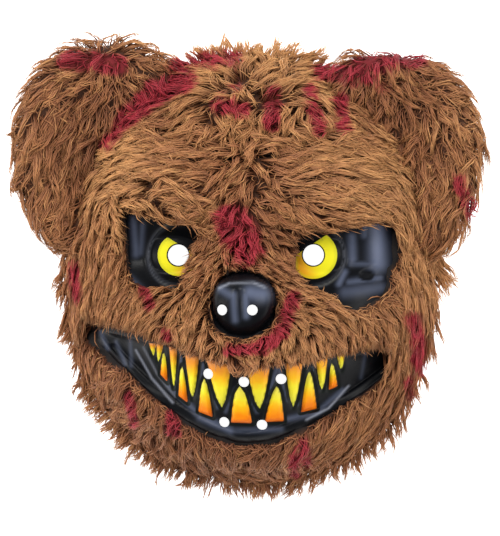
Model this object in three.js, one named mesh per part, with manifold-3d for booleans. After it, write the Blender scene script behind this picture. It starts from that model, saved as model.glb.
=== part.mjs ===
// A plush-covered bear mask: a thin moulded plastic face with raised teeth, nose and eyeballs and punched
// holes, six panels of long-pile plush over it, and two plush ears on its sides. Sizes are in millimetres.
// The mask lies face up on its flat rim. Seen from the front, +X is to the right, +Y is to the top of the
// head and +Z points out of the face.
import * as THREE from "three";
import { mergeVertices } from "three/addons/utils/BufferGeometryUtils.js";
import Module from "manifold-3d";

const wasm = await Module();
wasm.setup();

// The plastic shell
const shellWidth = 176;
const shellHeight = 200;
const crownRise = 7;
const shellWall = 1.2;
const domeHeight = 52;
const outlinePower = 2.2;
const domePower = 2.6;

// The eyes: a ball in each socket with one punched hole
const eyeSpacing = 68;
const eyeHeight = 10;
const eyeballRadius = 15;
const eyeballRise = 5;
const eyeHoleRadius = 5.3;
const socketWidth = 66;
const socketHeight = 44;
const socketDepth = 9;

// The nose: two lobes with a nostril hole each, a little left of the middle
const noseWidth = 32;
const noseHeight = 31;
const noseRise = 13;
const noseDrop = 14.5;
const noseShift = -1.5;
const nostrilSpacing = 15;
const nostrilDrop = 17;
const nostrilRadius = 2.6;

// The mouth: a smile that is level in its own frame and turned by the roll
const mouthWidth = 160;
const mouthOpening = 40;
const mouthDrop = 64.6;
const mouthDepth = 4;
const smileRise = 31;
const smilePower = 1.45;
const mouthRoll = -4;
const toothRise = 2.2;
const toothRoot = 5;
const lipRadius = 2.8;
const breathHoleRadius = 2.6;

// The holes for the elastic that holds the mask on a face
const strapHoleRadius = 2;
const strapHoleHeight = 15;
const strapHoleLift = 9;

// The plush
const plushThickness = 5;
const plushGap = 0.4;
const seamGap = 0.5;
const hemHeight = 1;
const lockLength = 27;
const lockWidth = 14;
const lockRise = 4;
const lockFlick = 2.5;
const lockRoot = 1.5;
const fringeLift = 4;

// The ears: their centres stand in from the shell's side and up from its middle
const earInset = { left: 10, right: 13 };
const earCentreHeight = { left: 67, right: 62 };
const earWidth = 80;
const earHeight = 102;
const earThickness = 20;
const earLift = 15;
const earCup = 4;
const earLockLength = 17;

// The grid of the domed surfaces, and the steps along the mouth
const spokes = 44;
const rings = 10;
const mouthSteps = 14;
const eyeHoleSides = 16;
const smallHoleSides = 10;

// How far the cutters run past what they cut
const cutterReach = 200;
const cutterTop = 140;
const cutterSkirt = 5;

const halfWidth = shellWidth / 2;
const halfHeight = shellHeight / 2;

// Broad relief of the face: centre and half size as shares of the shell's half width and half height, and
// the rise as a share of the dome's height. A twin stands on both sides.
const relief = [
  { name: "muzzle", x: 0, y: -0.46, w: 0.78, h: 0.64, rise: 0.54, twin: false },
  { name: "bridge", x: 0, y: 0.06, w: 0.24, h: 0.44, rise: 0.14, twin: false },
  { name: "brow", x: 0.4, y: 0.38, w: 0.58, h: 0.26, rise: 0.14, twin: true },
  { name: "cheek", x: 0.6, y: -0.22, w: 0.36, h: 0.32, rise: 0.12, twin: true },
  { name: "chin", x: 0, y: -0.84, w: 0.44, h: 0.22, rise: 0.16, twin: false },
];

// Teeth: place across the mouth and width as shares of its half width, and root and tip as shares of the
// way from its middle line to its edge, upwards. The ones off the middle stand on both sides.
const teeth = [
  { across: 0, width: 0.131, root: -0.46, tip: 0.45 },
  { across: 0.225, width: 0.104, root: -0.5, tip: 0.42 },
  { across: 0.398, width: 0.082, root: -0.46, tip: 0.62 },
  { across: 0.534, width: 0.056, root: -0.2, tip: 0.74 },
  { across: 0.118, width: 0.125, root: 0.97, tip: -0.1 },
  { across: 0.313, width: 0.09, root: 0.97, tip: -0.24 },
  { across: 0.465, width: 0.062, root: 0.97, tip: -0.12 },
  { across: 0.575, width: 0.044, root: 0.97, tip: 0.4 },
];

// Breathing holes in the mouth, in the same shares
const breathHoles = [
  { across: 0, up: 0.6 },
  { across: 0.225, up: 0.58 },
  { across: 0.118, up: -0.55 },
];

// The lower lip's middle line, and how far the lip and the plush's cut-out run across, in the same shares
const lipUp = -0.86;
const lipAcross = 0.88;
const mouthCutoutEnds = { left: -0.985, right: 0.915 };

// Creases that stand up in the corners of the mouth, in the same shares
const mouthCreases = [
  { across: 0.73, width: 0.05, root: -0.75, tip: 0.7 },
  { across: 0.82, width: 0.05, root: -0.8, tip: 0.8 },
];

// The nose's lobes, as shares of its width: half of each lobe's width, and its centre from the middle
const lobeHalfShare = 0.33;
const lobeCentreShare = 0.18;

// Seams of the plush, left to right, as shares of the shell's half width and half height
const crownSeam = [
  [-1.6, 0.8],
  [-0.68, 0.77],
  [-0.42, 0.7],
  [-0.2, 0.62],
  [-0.07, 0.58],
  [0.25, 0.61],
  [0.48, 0.67],
  [0.68, 0.68],
  [1.6, 0.58],
];
const browSeam = [
  [-1.6, 0.5],
  [-0.7, 0.3],
  [-0.55, 0.12],
  [-0.33, 0.1],
  [-0.22, 0.22],
  [0.22, 0.2],
  [0.35, 0.1],
  [0.6, 0.12],
  [0.86, 0.24],
  [1.6, 0.36],
];
const mouthSeam = [
  [-1.6, -0.25],
  [-0.91, -0.27],
  [-0.5, -0.5],
  [0, -0.62],
  [0.5, -0.56],
  [0.85, -0.4],
  [1.6, -0.45],
];
// The middle seam, from the crown to the mouth
const middleSeam = [
  [-0.07, 0.9],
  [-0.07, 0.2],
  [0, 0],
  [0, -0.9],
];

// Cut-outs in the plush round the eyes, from each eye's centre, as shares of the socket's half width and
// half height
const eyeCutouts = {
  left: [
    [-0.84, 0.95],
    [-0.44, 0.82],
    [0.01, 0.66],
    [0.35, 0.58],
    [0.3, 0.11],
    [0.22, -0.28],
    [0.02, -0.7],
    [-0.36, -0.75],
    [-0.7, -0.57],
    [-0.79, -0.12],
  ],
  right: [
    [-0.28, 0.36],
    [0.2, 0.49],
    [0.75, 0.65],
    [1.15, 0.79],
    [1.24, 0.49],
    [1.2, -0.12],
    [1.12, -0.55],
    [0.94, -0.98],
    [0.42, -1.16],
    [0.16, -0.91],
    [-0.04, -0.7],
    [-0.3, -0.18],
  ],
};

// Rows of plush locks: ring as a share of the way from the face's centre to its rim, and their number
const lockRows = [
  { ring: 0.34, count: 9 },
  { ring: 0.5, count: 13 },
  { ring: 0.66, count: 17 },
  { ring: 0.83, count: 22 },
];
const lockDownwardShare = 0.4;
// Locks that lie out over the rim round the jaw: their bearing in degrees, and how far their tip lies past
// the rim as a share of a lock's length
const fringeRoot = 0.78;
const fringe = [
  { bearing: 200, reach: 0.28 },
  { bearing: 211, reach: 0.36 },
  { bearing: 222, reach: 0.33 },
  { bearing: 233, reach: 0.4 },
  { bearing: 244, reach: 0.36 },
  { bearing: 254, reach: 0.42 },
  { bearing: 264, reach: 0.37 },
  { bearing: 274, reach: 0.4 },
  { bearing: 284, reach: 0.33 },
  { bearing: 295, reach: 0.3 },
  { bearing: 306, reach: 0.27 },
  { bearing: 318, reach: 0.32 },
  { bearing: 330, reach: 0.28 },
];

// The right ear's outline, from its centre, as shares of half its width and half its height
const earOutline = [
  [-0.95, 0.7],
  [-0.6, 0.93],
  [-0.15, 1.0],
  [0.3, 0.94],
  [0.68, 0.72],
  [0.93, 0.36],
  [1.0, -0.05],
  [0.93, -0.45],
  [0.72, -0.78],
  [0.5, -1.0],
  [-0.2, -1.0],
  [-0.8, -0.9],
  [-1.0, -0.4],
  [-1.0, 0.3],
];
// Sections through the ear's thickness, from its front to its back: size as a share of the outline, and
// height above the ear's middle as a share of half its thickness
const earSections = [
  { size: 0.45, lift: 0.72 },
  { size: 0.78, lift: 1.0 },
  { size: 0.95, lift: 0.72 },
  { size: 1.0, lift: 0 },
  { size: 0.92, lift: -0.72 },
  { size: 0.6, lift: -1.0 },
];
// Rows of locks on an ear: place as a share of the outline, and their number
const earLockRows = [
  { ring: 0.5, count: 6 },
  { ring: 0.82, count: 11 },
];

// Fields of the face's surface

const clampUnit = (t) => Math.min(1, Math.max(0, t));
const radians = THREE.MathUtils.degToRad;

// How far the rim lies above or below the middle: the crown reaches further than the chin
const rimReach = (y) => (y > 0 ? halfHeight + crownRise : halfHeight);

// How far a point lies from the centre towards the rim, from 0 to 1
function rimShare(x, y) {
  const across = Math.pow(Math.abs(x) / halfWidth, outlinePower);
  const up = Math.pow(Math.abs(y) / rimReach(y), outlinePower);
  return Math.pow(across + up, 1 / outlinePower);
}

// A round swelling that fades to nothing at its edge
function swell(u, v) {
  const rest = clampUnit(1 - u * u - v * v);
  return rest * rest;
}

// The middle line and half height of the mouth, in its own frame
function mouthMiddle(across) {
  return -mouthDrop + smileRise * Math.pow(Math.abs(across), smilePower);
}
function mouthHalf(across) {
  return (mouthOpening / 2) * Math.max(0, 1 - across * across);
}

// A point of the mouth: across and up as shares of its half width and half height
function mouthPoint(across, up) {
  const flat = new THREE.Vector2((across * mouthWidth) / 2, mouthMiddle(across) + up * mouthHalf(across));
  return flat.rotateAround(new THREE.Vector2(0, -mouthDrop), radians(mouthRoll));
}

// How deep a point lies in the mouth: 1 along its middle, 0 at its edge and outside it
function mouthShare(x, y) {
  const level = new THREE.Vector2(x, y).rotateAround(new THREE.Vector2(0, -mouthDrop), radians(-mouthRoll));
  const across = level.x / (mouthWidth / 2);
  const half = mouthHalf(across);
  if (half <= 0) return 0;
  const up = (level.y - mouthMiddle(across)) / half;
  return clampUnit(1 - Math.pow(up, 4)) * clampUnit(4 * (1 - across * across));
}

// Height of the shell's outer surface over the rim's plane, without the parts that stand on it
function faceHeight(x, y) {
  const share = Math.min(1, rimShare(x, y));
  let height = domeHeight * Math.sqrt(1 - Math.pow(share, domePower));
  const fade = 1 - Math.pow(share, 8);
  for (const part of relief) {
    const sides = part.twin ? [-1, 1] : [1];
    for (const side of sides) {
      const u = (x / halfWidth - side * part.x) / part.w;
      const v = (y / halfHeight - part.y) / part.h;
      height += fade * part.rise * domeHeight * swell(u, v);
    }
  }
  for (const side of [-1, 1]) {
    const u = (x - (side * eyeSpacing) / 2) / (socketWidth / 2);
    const v = (y - eyeHeight) / (socketHeight / 2);
    height -= fade * socketDepth * swell(u, v);
  }
  return height - fade * mouthDepth * mouthShare(x, y);
}

// A point of the surface by its bearing and the share of the way to the rim along the surface
function facePoint(bearing, way) {
  const share = Math.sin((clampUnit(way) * Math.PI) / 2);
  const power = 2 / outlinePower;
  const c = Math.cos(bearing);
  const s = Math.sin(bearing);
  const x = halfWidth * share * Math.sign(c) * Math.pow(Math.abs(c), power);
  const y = rimReach(s) * share * Math.sign(s) * Math.pow(Math.abs(s), power);
  return new THREE.Vector3(x, y, share >= 1 ? 0 : faceHeight(x, y));
}

// The outward normal there; at the rim it is level
function faceNormal(bearing, way) {
  const step = 0.04;
  const along = facePoint(bearing, way + step).sub(facePoint(bearing, way - step));
  const round = facePoint(bearing + step, way).sub(facePoint(bearing - step, way));
  const normal = along.cross(round);
  if (way >= 1) normal.z = 0;
  return normal.normalize();
}

// A point of the surface moved out by an offset
function offsetPoint(bearing, way, offset) {
  if (way === 0) return facePoint(0, 0).add(new THREE.Vector3(0, 0, offset));
  return facePoint(bearing, way).addScaledVector(faceNormal(bearing, way), offset);
}

// Closed solids

// A solid of a list of points and triangles
function solidOfFaces(points, faces) {
  const vertProperties = new Float32Array(points.flatMap((p) => [p.x, p.y, p.z]));
  const triVerts = new Uint32Array(faces.flat());
  return new wasm.Manifold(new wasm.Mesh({ numProp: 3, vertProperties, triVerts }));
}

// A solid of a three.js geometry
function solidOfGeometry(geometry) {
  const bare = geometry.clone();
  bare.deleteAttribute("normal");
  bare.deleteAttribute("uv");
  const merged = mergeVertices(bare, 1e-4);
  return new wasm.Manifold(
    new wasm.Mesh({
      numProp: 3,
      vertProperties: new Float32Array(merged.attributes.position.array),
      triVerts: new Uint32Array(merged.index.array),
    }),
  );
}

// Loops of points, each joined to the next, closed by a point before the first and one after the last
function solidOfLoops(first, loops, last) {
  const count = loops[0].length;
  const points = [first, ...loops.flat(), last];
  const end = points.length - 1;
  const at = (loop, i) => 1 + loop * count + (i % count);
  const faces = [];
  for (let i = 0; i < count; i++) {
    faces.push([0, at(0, i), at(0, i + 1)]);
    for (let loop = 0; loop + 1 < loops.length; loop++) {
      faces.push([at(loop, i), at(loop + 1, i), at(loop + 1, i + 1)]);
      faces.push([at(loop, i), at(loop + 1, i + 1), at(loop, i + 1)]);
    }
    faces.push([at(loops.length - 1, i), end, at(loops.length - 1, i + 1)]);
  }
  return solidOfFaces(points, faces);
}

// The filled dome of the face, its surface moved out by an offset, with a skirt below the rim's plane
function domeSolid(offset, skirt) {
  const loops = [];
  for (let ring = 1; ring <= rings; ring++) {
    const loop = [];
    for (let spoke = 0; spoke < spokes; spoke++) {
      loop.push(offsetPoint((spoke / spokes) * 2 * Math.PI, ring / rings, offset));
    }
    loops.push(loop);
  }
  if (skirt > 0) loops.push(loops[rings - 1].map((p) => new THREE.Vector3(p.x, p.y, -skirt)));
  return solidOfLoops(offsetPoint(0, 0, offset), loops, new THREE.Vector3(0, 0, -skirt));
}

// A spindle from root to tip: widest and highest a part of the way along, with its keel below the surface
function spindleSolid(root, tip, normal, width, rise, keel) {
  const along = tip.clone().sub(root);
  const side = along.clone().cross(normal).setLength(width / 2);
  const middle = root.clone().addScaledVector(along, 0.42);
  const crest = middle.clone().addScaledVector(normal, rise);
  const under = middle.clone().addScaledVector(normal, -keel);
  const points = [root, middle.clone().add(side), crest, middle.clone().sub(side), under, tip];
  const faces = [];
  for (let i = 0; i < 4; i++) {
    const next = 1 + ((i + 1) % 4);
    faces.push([0, 1 + i, next], [5, next, 1 + i]);
  }
  return solidOfFaces(points, faces);
}

// A tall upright prism over an outline of [x, y] points, to cut with
function prismSolid(outline) {
  const shape = new THREE.Shape(outline.map(([x, y]) => new THREE.Vector2(x, y)));
  const depth = cutterTop + cutterSkirt;
  const geometry = new THREE.ExtrudeGeometry(shape, { depth, bevelEnabled: false });
  return solidOfGeometry(geometry.translate(0, 0, -cutterSkirt));
}

// An upright round punch
function punchSolid(x, y, radius, sides) {
  const geometry = new THREE.CylinderGeometry(radius, radius, cutterTop, sides);
  return solidOfGeometry(geometry.rotateX(Math.PI / 2).translate(x, y, cutterTop / 2));
}

const joined = (solids) => wasm.Manifold.union(solids);

// The parts that stand on the shell

function eyeballSolid(side, grow) {
  const arcSteps = 3;
  const radius = eyeballRadius + grow;
  const profile = [new THREE.Vector2(0, -eyeballRise), new THREE.Vector2(radius, -eyeballRise)];
  for (let i = 0; i <= arcSteps; i++) {
    const turn = (i / arcSteps) * (Math.PI / 2);
    profile.push(new THREE.Vector2(radius * Math.cos(turn), (eyeballRise + grow) * Math.sin(turn)));
  }
  profile[profile.length - 1].x = 0;
  profile.push(new THREE.Vector2(0, -eyeballRise));
  const geometry = new THREE.LatheGeometry(profile, eyeHoleSides).rotateX(Math.PI / 2);
  const x = (side * eyeSpacing) / 2;
  return solidOfGeometry(geometry.translate(x, eyeHeight, faceHeight(x, eyeHeight)));
}

function noseSolid(grow) {
  const lobes = [-1, 1].map((side) => {
    const lobe = grow < 0 ? new THREE.SphereGeometry(1, 8, 6) : new THREE.SphereGeometry(1, 12, 8);
    lobe.scale(noseWidth * lobeHalfShare + grow, noseHeight / 2 + grow, noseRise + grow);
    const x = noseShift + side * noseWidth * lobeCentreShare;
    return solidOfGeometry(lobe.translate(x, -noseDrop, faceHeight(noseShift, -noseDrop)));
  });
  return joined(lobes);
}

// The lower lip: a rounded ridge along the mouth's lower edge, sunk into the shell
function lipSolid(grow) {
  const half = lipRadius + grow;
  const loops = [];
  const middles = [];
  for (let i = 0; i <= mouthSteps; i++) {
    const across = THREE.MathUtils.lerp(-lipAcross, lipAcross, i / mouthSteps);
    const here = mouthPoint(across, lipUp);
    const ahead = mouthPoint(across + 0.02, lipUp).sub(here).normalize();
    const height = faceHeight(here.x, here.y);
    const at = (sideways, lift) =>
      new THREE.Vector3(here.x - ahead.y * sideways, here.y + ahead.x * sideways, height + lift);
    const rightSide = [at(-half, -toothRoot), at(-half, half * 0.15), at(-half * 0.6, half * 0.9)];
    const leftSide = [at(half * 0.6, half * 0.9), at(half, half * 0.15), at(half, -toothRoot)];
    loops.push([...rightSide, ...leftSide]);
    middles.push(at(0, 0));
  }
  return solidOfLoops(middles[0], loops, middles[mouthSteps]);
}

// A tooth or crease: a wedge with a ridge down its middle, from its root to its tip, sunk into the shell
function toothSolid(across, tooth) {
  const at = (place, up, lift) => {
    const { x, y } = mouthPoint(place, up);
    return new THREE.Vector3(x, y, faceHeight(x, y) + lift);
  };
  const half = tooth.width / 2;
  const low = tooth.tip > tooth.root ? 1 : -1;
  const points = [
    at(across - low * half, tooth.root, -toothRoot),
    at(across + low * half, tooth.root, -toothRoot),
    at(across, tooth.tip, -toothRoot),
    at(across - low * half * 0.55, tooth.root, toothRise),
    at(across + low * half * 0.55, tooth.root, toothRise),
    at(across, tooth.tip - 0.08 * low, toothRise * 0.7),
  ];
  const faces = [
    [0, 2, 1],
    [3, 4, 5],
    [0, 1, 4],
    [0, 4, 3],
    [1, 2, 5],
    [1, 5, 4],
    [2, 0, 3],
    [2, 3, 5],
  ];
  return solidOfFaces(points, faces);
}

const bothSides = (table) =>
  table.flatMap((row) => (row.across === 0 ? [[0, row]] : [[-row.across, row], [row.across, row]]));

// What the eyeballs and the lip fill, grown by a clearance
function featureSolids(grow) {
  return [eyeballSolid(-1, grow), eyeballSolid(1, grow), lipSolid(grow)];
}

function holeSolids() {
  const holes = [];
  for (const side of [-1, 1]) {
    const eyeX = (side * eyeSpacing) / 2;
    const nostrilX = noseShift + (side * nostrilSpacing) / 2;
    holes.push(punchSolid(eyeX, eyeHeight, eyeHoleRadius, eyeHoleSides));
    holes.push(punchSolid(nostrilX, -nostrilDrop, nostrilRadius, smallHoleSides));
    const reach = halfWidth / 2;
    const strapHole = new THREE.CylinderGeometry(strapHoleRadius, strapHoleRadius, reach, smallHoleSides);
    strapHole.rotateZ(Math.PI / 2).translate(side * halfWidth, strapHoleHeight, strapHoleLift);
    holes.push(solidOfGeometry(strapHole));
  }
  for (const [across, hole] of bothSides(breathHoles)) {
    const { x, y } = mouthPoint(across, hole.up);
    holes.push(punchSolid(x, y, breathHoleRadius, smallHoleSides));
  }
  return holes;
}

function shellSolid() {
  const raised = bothSides([...teeth, ...mouthCreases]).map(([across, wedge]) => toothSolid(across, wedge));
  const outer = joined([domeSolid(0, 0), ...featureSolids(0), noseSolid(0), ...raised]);
  const eyes = [-1, 1].map((side) => eyeballSolid(side, -shellWall));
  const inner = joined([domeSolid(-shellWall, cutterSkirt), ...eyes, noseSolid(-shellWall)]);
  return outer.subtract(inner).subtract(joined(holeSolids()));
}

// The plush

// A lock of pile that leaves the plush at its root and lies along it to its tip
function lockSolid(root, tip, normal) {
  const sunkRoot = root.clone().addScaledVector(normal, -lockRoot);
  const liftedTip = tip.clone().addScaledVector(normal, lockFlick);
  return spindleSolid(sunkRoot, liftedTip, normal, lockWidth, lockRise, plushThickness * 0.6);
}

// Locks over the face, lying outwards and a little down
function faceLocks() {
  const arcToRim = halfHeight + domeHeight;
  const locks = [];
  for (const [rowIndex, row] of lockRows.entries()) {
    for (let i = 0; i < row.count; i++) {
      const bearing = ((i + 0.5 * (rowIndex % 2)) / row.count) * 2 * Math.PI;
      const root = offsetPoint(bearing, row.ring, plushThickness);
      const radius = Math.hypot(root.x, root.y);
      const turn = (-Math.cos(bearing) * lockDownwardShare * lockLength) / radius;
      const reach = Math.min(0.99, row.ring + lockLength / arcToRim);
      const tip = offsetPoint(bearing + turn, reach, plushThickness);
      locks.push(lockSolid(root, tip, faceNormal(bearing + turn, (row.ring + reach) / 2)));
    }
  }
  return locks;
}

// Locks that lie out over the rim
function fringeLocks() {
  return fringe.map(({ bearing, reach }) => {
    const turn = radians(bearing);
    const root = offsetPoint(turn, fringeRoot, plushThickness);
    const tip = offsetPoint(turn, 1, reach * lockLength).setZ(fringeLift);
    return lockSolid(root, tip, faceNormal(turn, (fringeRoot + 1) / 2));
  });
}

const scaledSeam = (seam) => seam.map(([x, y]) => [x * halfWidth, y * halfHeight]);

// The space above or below a seam, drawn back from it by half of the seam's gap
function sideOfSeam(seam, sign) {
  const line = scaledSeam(seam).map(([x, y]) => [x, y + (sign * seamGap) / 2]);
  const far = sign * cutterReach;
  const outline = [...line, [line[line.length - 1][0], far], [line[0][0], far]];
  return prismSolid(sign > 0 ? outline : outline.reverse());
}

// The space left or right of the middle seam
function sideOfMiddle(sign) {
  const line = scaledSeam(middleSeam).map(([x, y]) => [x + (sign * seamGap) / 2, y]);
  const far = sign * cutterReach;
  const ends = [
    [line[line.length - 1][0], -cutterReach],
    [far, -cutterReach],
    [far, cutterReach],
    [line[0][0], cutterReach],
  ];
  const outline = [...line, ...ends];
  return prismSolid(sign > 0 ? outline : outline.reverse());
}

function mouthCutout() {
  const lower = [];
  const upper = [];
  for (let i = 0; i <= mouthSteps; i++) {
    const across = THREE.MathUtils.lerp(mouthCutoutEnds.left, mouthCutoutEnds.right, i / mouthSteps);
    lower.push(mouthPoint(across, -1).toArray());
    upper.push(mouthPoint(across, 1).toArray());
  }
  return prismSolid([...lower, ...upper.reverse()]);
}

function eyeCutout(side) {
  const outline = eyeCutouts[side < 0 ? "left" : "right"].map(([u, v]) => [
    (side * eyeSpacing) / 2 + (u * socketWidth) / 2,
    eyeHeight + (v * socketHeight) / 2,
  ]);
  return prismSolid(outline);
}

function noseCutout() {
  const sides = 20;
  const outline = [];
  for (let i = 0; i < sides; i++) {
    const turn = (i / sides) * 2 * Math.PI;
    const x = (noseWidth / 2 + plushGap) * Math.cos(turn) + noseShift;
    const y = (noseHeight / 2 + plushGap) * Math.sin(turn) - noseDrop;
    outline.push([x, y]);
  }
  return prismSolid(outline);
}

// The largest of a solid's separate bodies
function largestBody(solid) {
  return solid.decompose().reduce((best, body) => (body.volume() > best.volume() ? body : best));
}

function belowSolid(height) {
  const slab = new THREE.BoxGeometry(2 * cutterReach, 2 * cutterReach, cutterReach);
  return solidOfGeometry(slab.translate(0, 0, height - cutterReach / 2));
}

function plushPanels() {
  const filled = joined([domeSolid(plushThickness, 0), ...faceLocks(), ...fringeLocks()]);
  const cutters = joined([
    domeSolid(plushGap, cutterSkirt),
    ...featureSolids(plushGap),
    noseSolid(plushGap),
    belowSolid(hemHeight),
    mouthCutout(),
    eyeCutout(-1),
    eyeCutout(1),
    noseCutout(),
  ]);
  const plush = filled.subtract(cutters);
  const underCrown = plush.intersect(sideOfSeam(crownSeam, -1));
  const brow = underCrown.intersect(sideOfSeam(browSeam, 1));
  const lower = underCrown.intersect(sideOfSeam(browSeam, -1));
  const cheeks = lower.intersect(sideOfSeam(mouthSeam, 1));
  return {
    crown_fur: largestBody(plush.intersect(sideOfSeam(crownSeam, 1))),
    brow_fur_left: largestBody(brow.intersect(sideOfMiddle(-1))),
    brow_fur_right: largestBody(brow.intersect(sideOfMiddle(1))),
    cheek_fur_left: largestBody(cheeks.intersect(sideOfMiddle(-1))),
    cheek_fur_right: largestBody(cheeks.intersect(sideOfMiddle(1))),
    jaw_fur: largestBody(lower.intersect(sideOfSeam(mouthSeam, -1))),
  };
}

// An ear: a cupped plush pad with locks, cut to the side of the head
function earSolid(side, head) {
  const name = side < 0 ? "left" : "right";
  const centre = new THREE.Vector3(side * (halfWidth - earInset[name]), earCentreHeight[name], earLift);
  const turned = side < 0 ? [...earOutline].reverse() : earOutline;
  const at = (u, v, size, lift) => {
    const x = (side * u * size * earWidth) / 2;
    const y = (v * size * earHeight) / 2;
    return new THREE.Vector3(x, y, (lift * earThickness) / 2 + earCup * size * size).add(centre);
  };
  const loops = earSections.map(({ size, lift }) => turned.map(([u, v]) => at(u, v, size, lift)).reverse());
  const front = at(0, 0, 0, earSections[0].lift);
  const back = at(0, 0, 0, earSections[earSections.length - 1].lift);
  const pad = solidOfLoops(front, loops, back);
  const locks = [];
  for (const row of earLockRows) {
    for (let i = 0; i < row.count; i++) {
      const turn = ((i + 0.5) / row.count) * 2 * Math.PI;
      const root = at(Math.cos(turn), Math.sin(turn), row.ring * 0.92, 0.8);
      const outward = side * (0.35 + Math.cos(turn) * 0.5);
      const drift = new THREE.Vector3(outward, Math.sin(turn) * 0.6 - 0.45, -0.12);
      const tip = root.clone().addScaledVector(drift.normalize(), earLockLength);
      locks.push(lockSolid(root, tip, new THREE.Vector3(0, 0, 1)));
    }
  }
  return largestBody(joined([pad, ...locks]).subtract(head).subtract(belowSolid(hemHeight)));
}

// The assembly

const plushMaterial = new THREE.MeshStandardMaterial({ color: 0x9a6a3c, roughness: 0.9, metalness: 0 });
const shellMaterial = new THREE.MeshStandardMaterial({ color: 0x0d0e12, roughness: 0.18, metalness: 0 });

function meshOf(name, solid, material) {
  const { vertProperties, triVerts, numProp } = solid.getMesh();
  const positions = new Float32Array((vertProperties.length / numProp) * 3);
  for (let i = 0; i < positions.length / 3; i++) {
    positions.set(vertProperties.subarray(i * numProp, i * numProp + 3), i * 3);
  }
  const geometry = new THREE.BufferGeometry();
  geometry.setAttribute("position", new THREE.BufferAttribute(positions, 3));
  geometry.setIndex(new THREE.BufferAttribute(new Uint32Array(triVerts), 1));
  geometry.computeVertexNormals();
  const mesh = new THREE.Mesh(geometry, material);
  mesh.name = name;
  return mesh;
}

const mask = new THREE.Group();
mask.name = "bear_mask";
mask.add(meshOf("face_shell", shellSolid(), shellMaterial));
const panels = plushPanels();
for (const [name, solid] of Object.entries(panels)) mask.add(meshOf(name, solid, plushMaterial));

// The ears stand clear of the plush on the head, locks included
const head = joined([domeSolid(plushThickness + plushGap, cutterSkirt), ...Object.values(panels)]);
mask.add(meshOf("ear_left", earSolid(-1, head), plushMaterial));
mask.add(meshOf("ear_right", earSolid(1, head), plushMaterial));

// The origin is under the middle of the whole mask, on the plane that it rests on
const extent = new THREE.Box3().setFromObject(mask);
const middle = extent.getCenter(new THREE.Vector3());
mask.position.set(-middle.x, -middle.y, -extent.min.z);

const assembly = new THREE.Group();
assembly.add(mask);
export default assembly;
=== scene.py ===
"""A plush-covered bear mask, laid out as an add-on: the moulded plastic face with its painted eyes and teeth,
six panels of long pile over it, two plush ears, and a plain stage to look at them on.

Shapes are worked out in millimetres in the face's own frame, whose origin is under the middle of the face,
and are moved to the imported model's frame, in metres, when a mesh is made."""

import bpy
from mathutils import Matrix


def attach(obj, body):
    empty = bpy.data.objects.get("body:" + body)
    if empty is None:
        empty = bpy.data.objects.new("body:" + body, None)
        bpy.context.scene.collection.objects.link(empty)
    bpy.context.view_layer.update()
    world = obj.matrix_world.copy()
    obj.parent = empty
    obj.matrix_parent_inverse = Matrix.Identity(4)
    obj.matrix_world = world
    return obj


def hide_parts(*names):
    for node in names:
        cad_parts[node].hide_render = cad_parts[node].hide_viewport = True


bl_info = {
    "name": "Bear mask",
    "version": (1, 0, 0),
    "blender": (4, 5, 0),
    "location": "View3D > Sidebar > Bear mask",
    "description": "Makes a plush-covered bear mask over its packed solids",
    "category": "Add Mesh",
}

import math

import bmesh
import bpy
import numpy as np
from mathutils import Matrix, Vector, noise
from mathutils.bvhtree import BVHTree
from mathutils.kdtree import KDTree

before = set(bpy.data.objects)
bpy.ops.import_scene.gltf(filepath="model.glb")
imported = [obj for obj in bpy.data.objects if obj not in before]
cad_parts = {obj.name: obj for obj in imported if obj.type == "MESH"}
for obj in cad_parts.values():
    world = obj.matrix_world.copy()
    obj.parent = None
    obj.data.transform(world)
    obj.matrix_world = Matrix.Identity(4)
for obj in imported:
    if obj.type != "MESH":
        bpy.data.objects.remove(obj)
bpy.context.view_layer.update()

MM = 0.001
FACE_SHIFT = (1.5, -2.513, 0.0)
SEED = 41

# The plastic face, as its solid has it
HALF_WIDTH = 88.0
HALF_HEIGHT = 100.0
CROWN_RISE = 7.0
SHELL_WALL = 1.2
DOME_HEIGHT = 52.0
OUTLINE_POWER = 2.2
DOME_POWER = 2.6
EYE_SPACING = 68.0
EYE_HEIGHT = 10.0
EYEBALL_RADIUS = 15.0
EYEBALL_RISE = 5.0
EYE_HOLE_RADIUS = 5.3
SOCKET_WIDTH = 66.0
SOCKET_HEIGHT = 44.0
SOCKET_DEPTH = 9.0
NOSE_WIDTH = 32.0
NOSE_HEIGHT = 31.0
NOSE_RISE = 13.0
NOSE_DROP = 14.5
NOSE_SHIFT = -1.5
NOSE_LEAN = 2.2
NOSE_NARROWING = 0.16
NOSTRIL_SPACING = 15.0
NOSTRIL_DROP = 17.0
SMALL_HOLE_RADIUS = 2.6
MOUTH_WIDTH = 160.0
MOUTH_OPENING = 40.0
MOUTH_DROP = 64.6
MOUTH_DEPTH = 4.0
SMILE_RISE = 31.0
SMILE_POWER = 1.45
MOUTH_ROLL = -4.0
LIP_UP = -0.86
LIP_ACROSS = 0.88
LIP_RADIUS = 3.0
STRAP_HOLE_RADIUS = 2.0
STRAP_HOLE_HEIGHT = 15.0
STRAP_HOLE_LIFT = 9.0

# Broad relief: centre and half size as shares of the face's half width and half height, rise as a share of
# the dome's height, and whether a twin stands on the other side
RELIEF = (
    (0.0, -0.46, 0.78, 0.64, 0.54, False),
    (0.0, 0.06, 0.24, 0.44, 0.14, False),
    (0.4, 0.38, 0.58, 0.26, 0.14, True),
    (0.6, -0.22, 0.36, 0.32, 0.12, True),
    (0.0, -0.84, 0.44, 0.22, 0.16, False),
)

# Breathing holes, across and up as shares of the mouth's half width and half height
BREATH_HOLES = ((0.0, 0.6), (0.225, 0.58), (-0.225, 0.58), (0.118, -0.55), (-0.118, -0.55))

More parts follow.
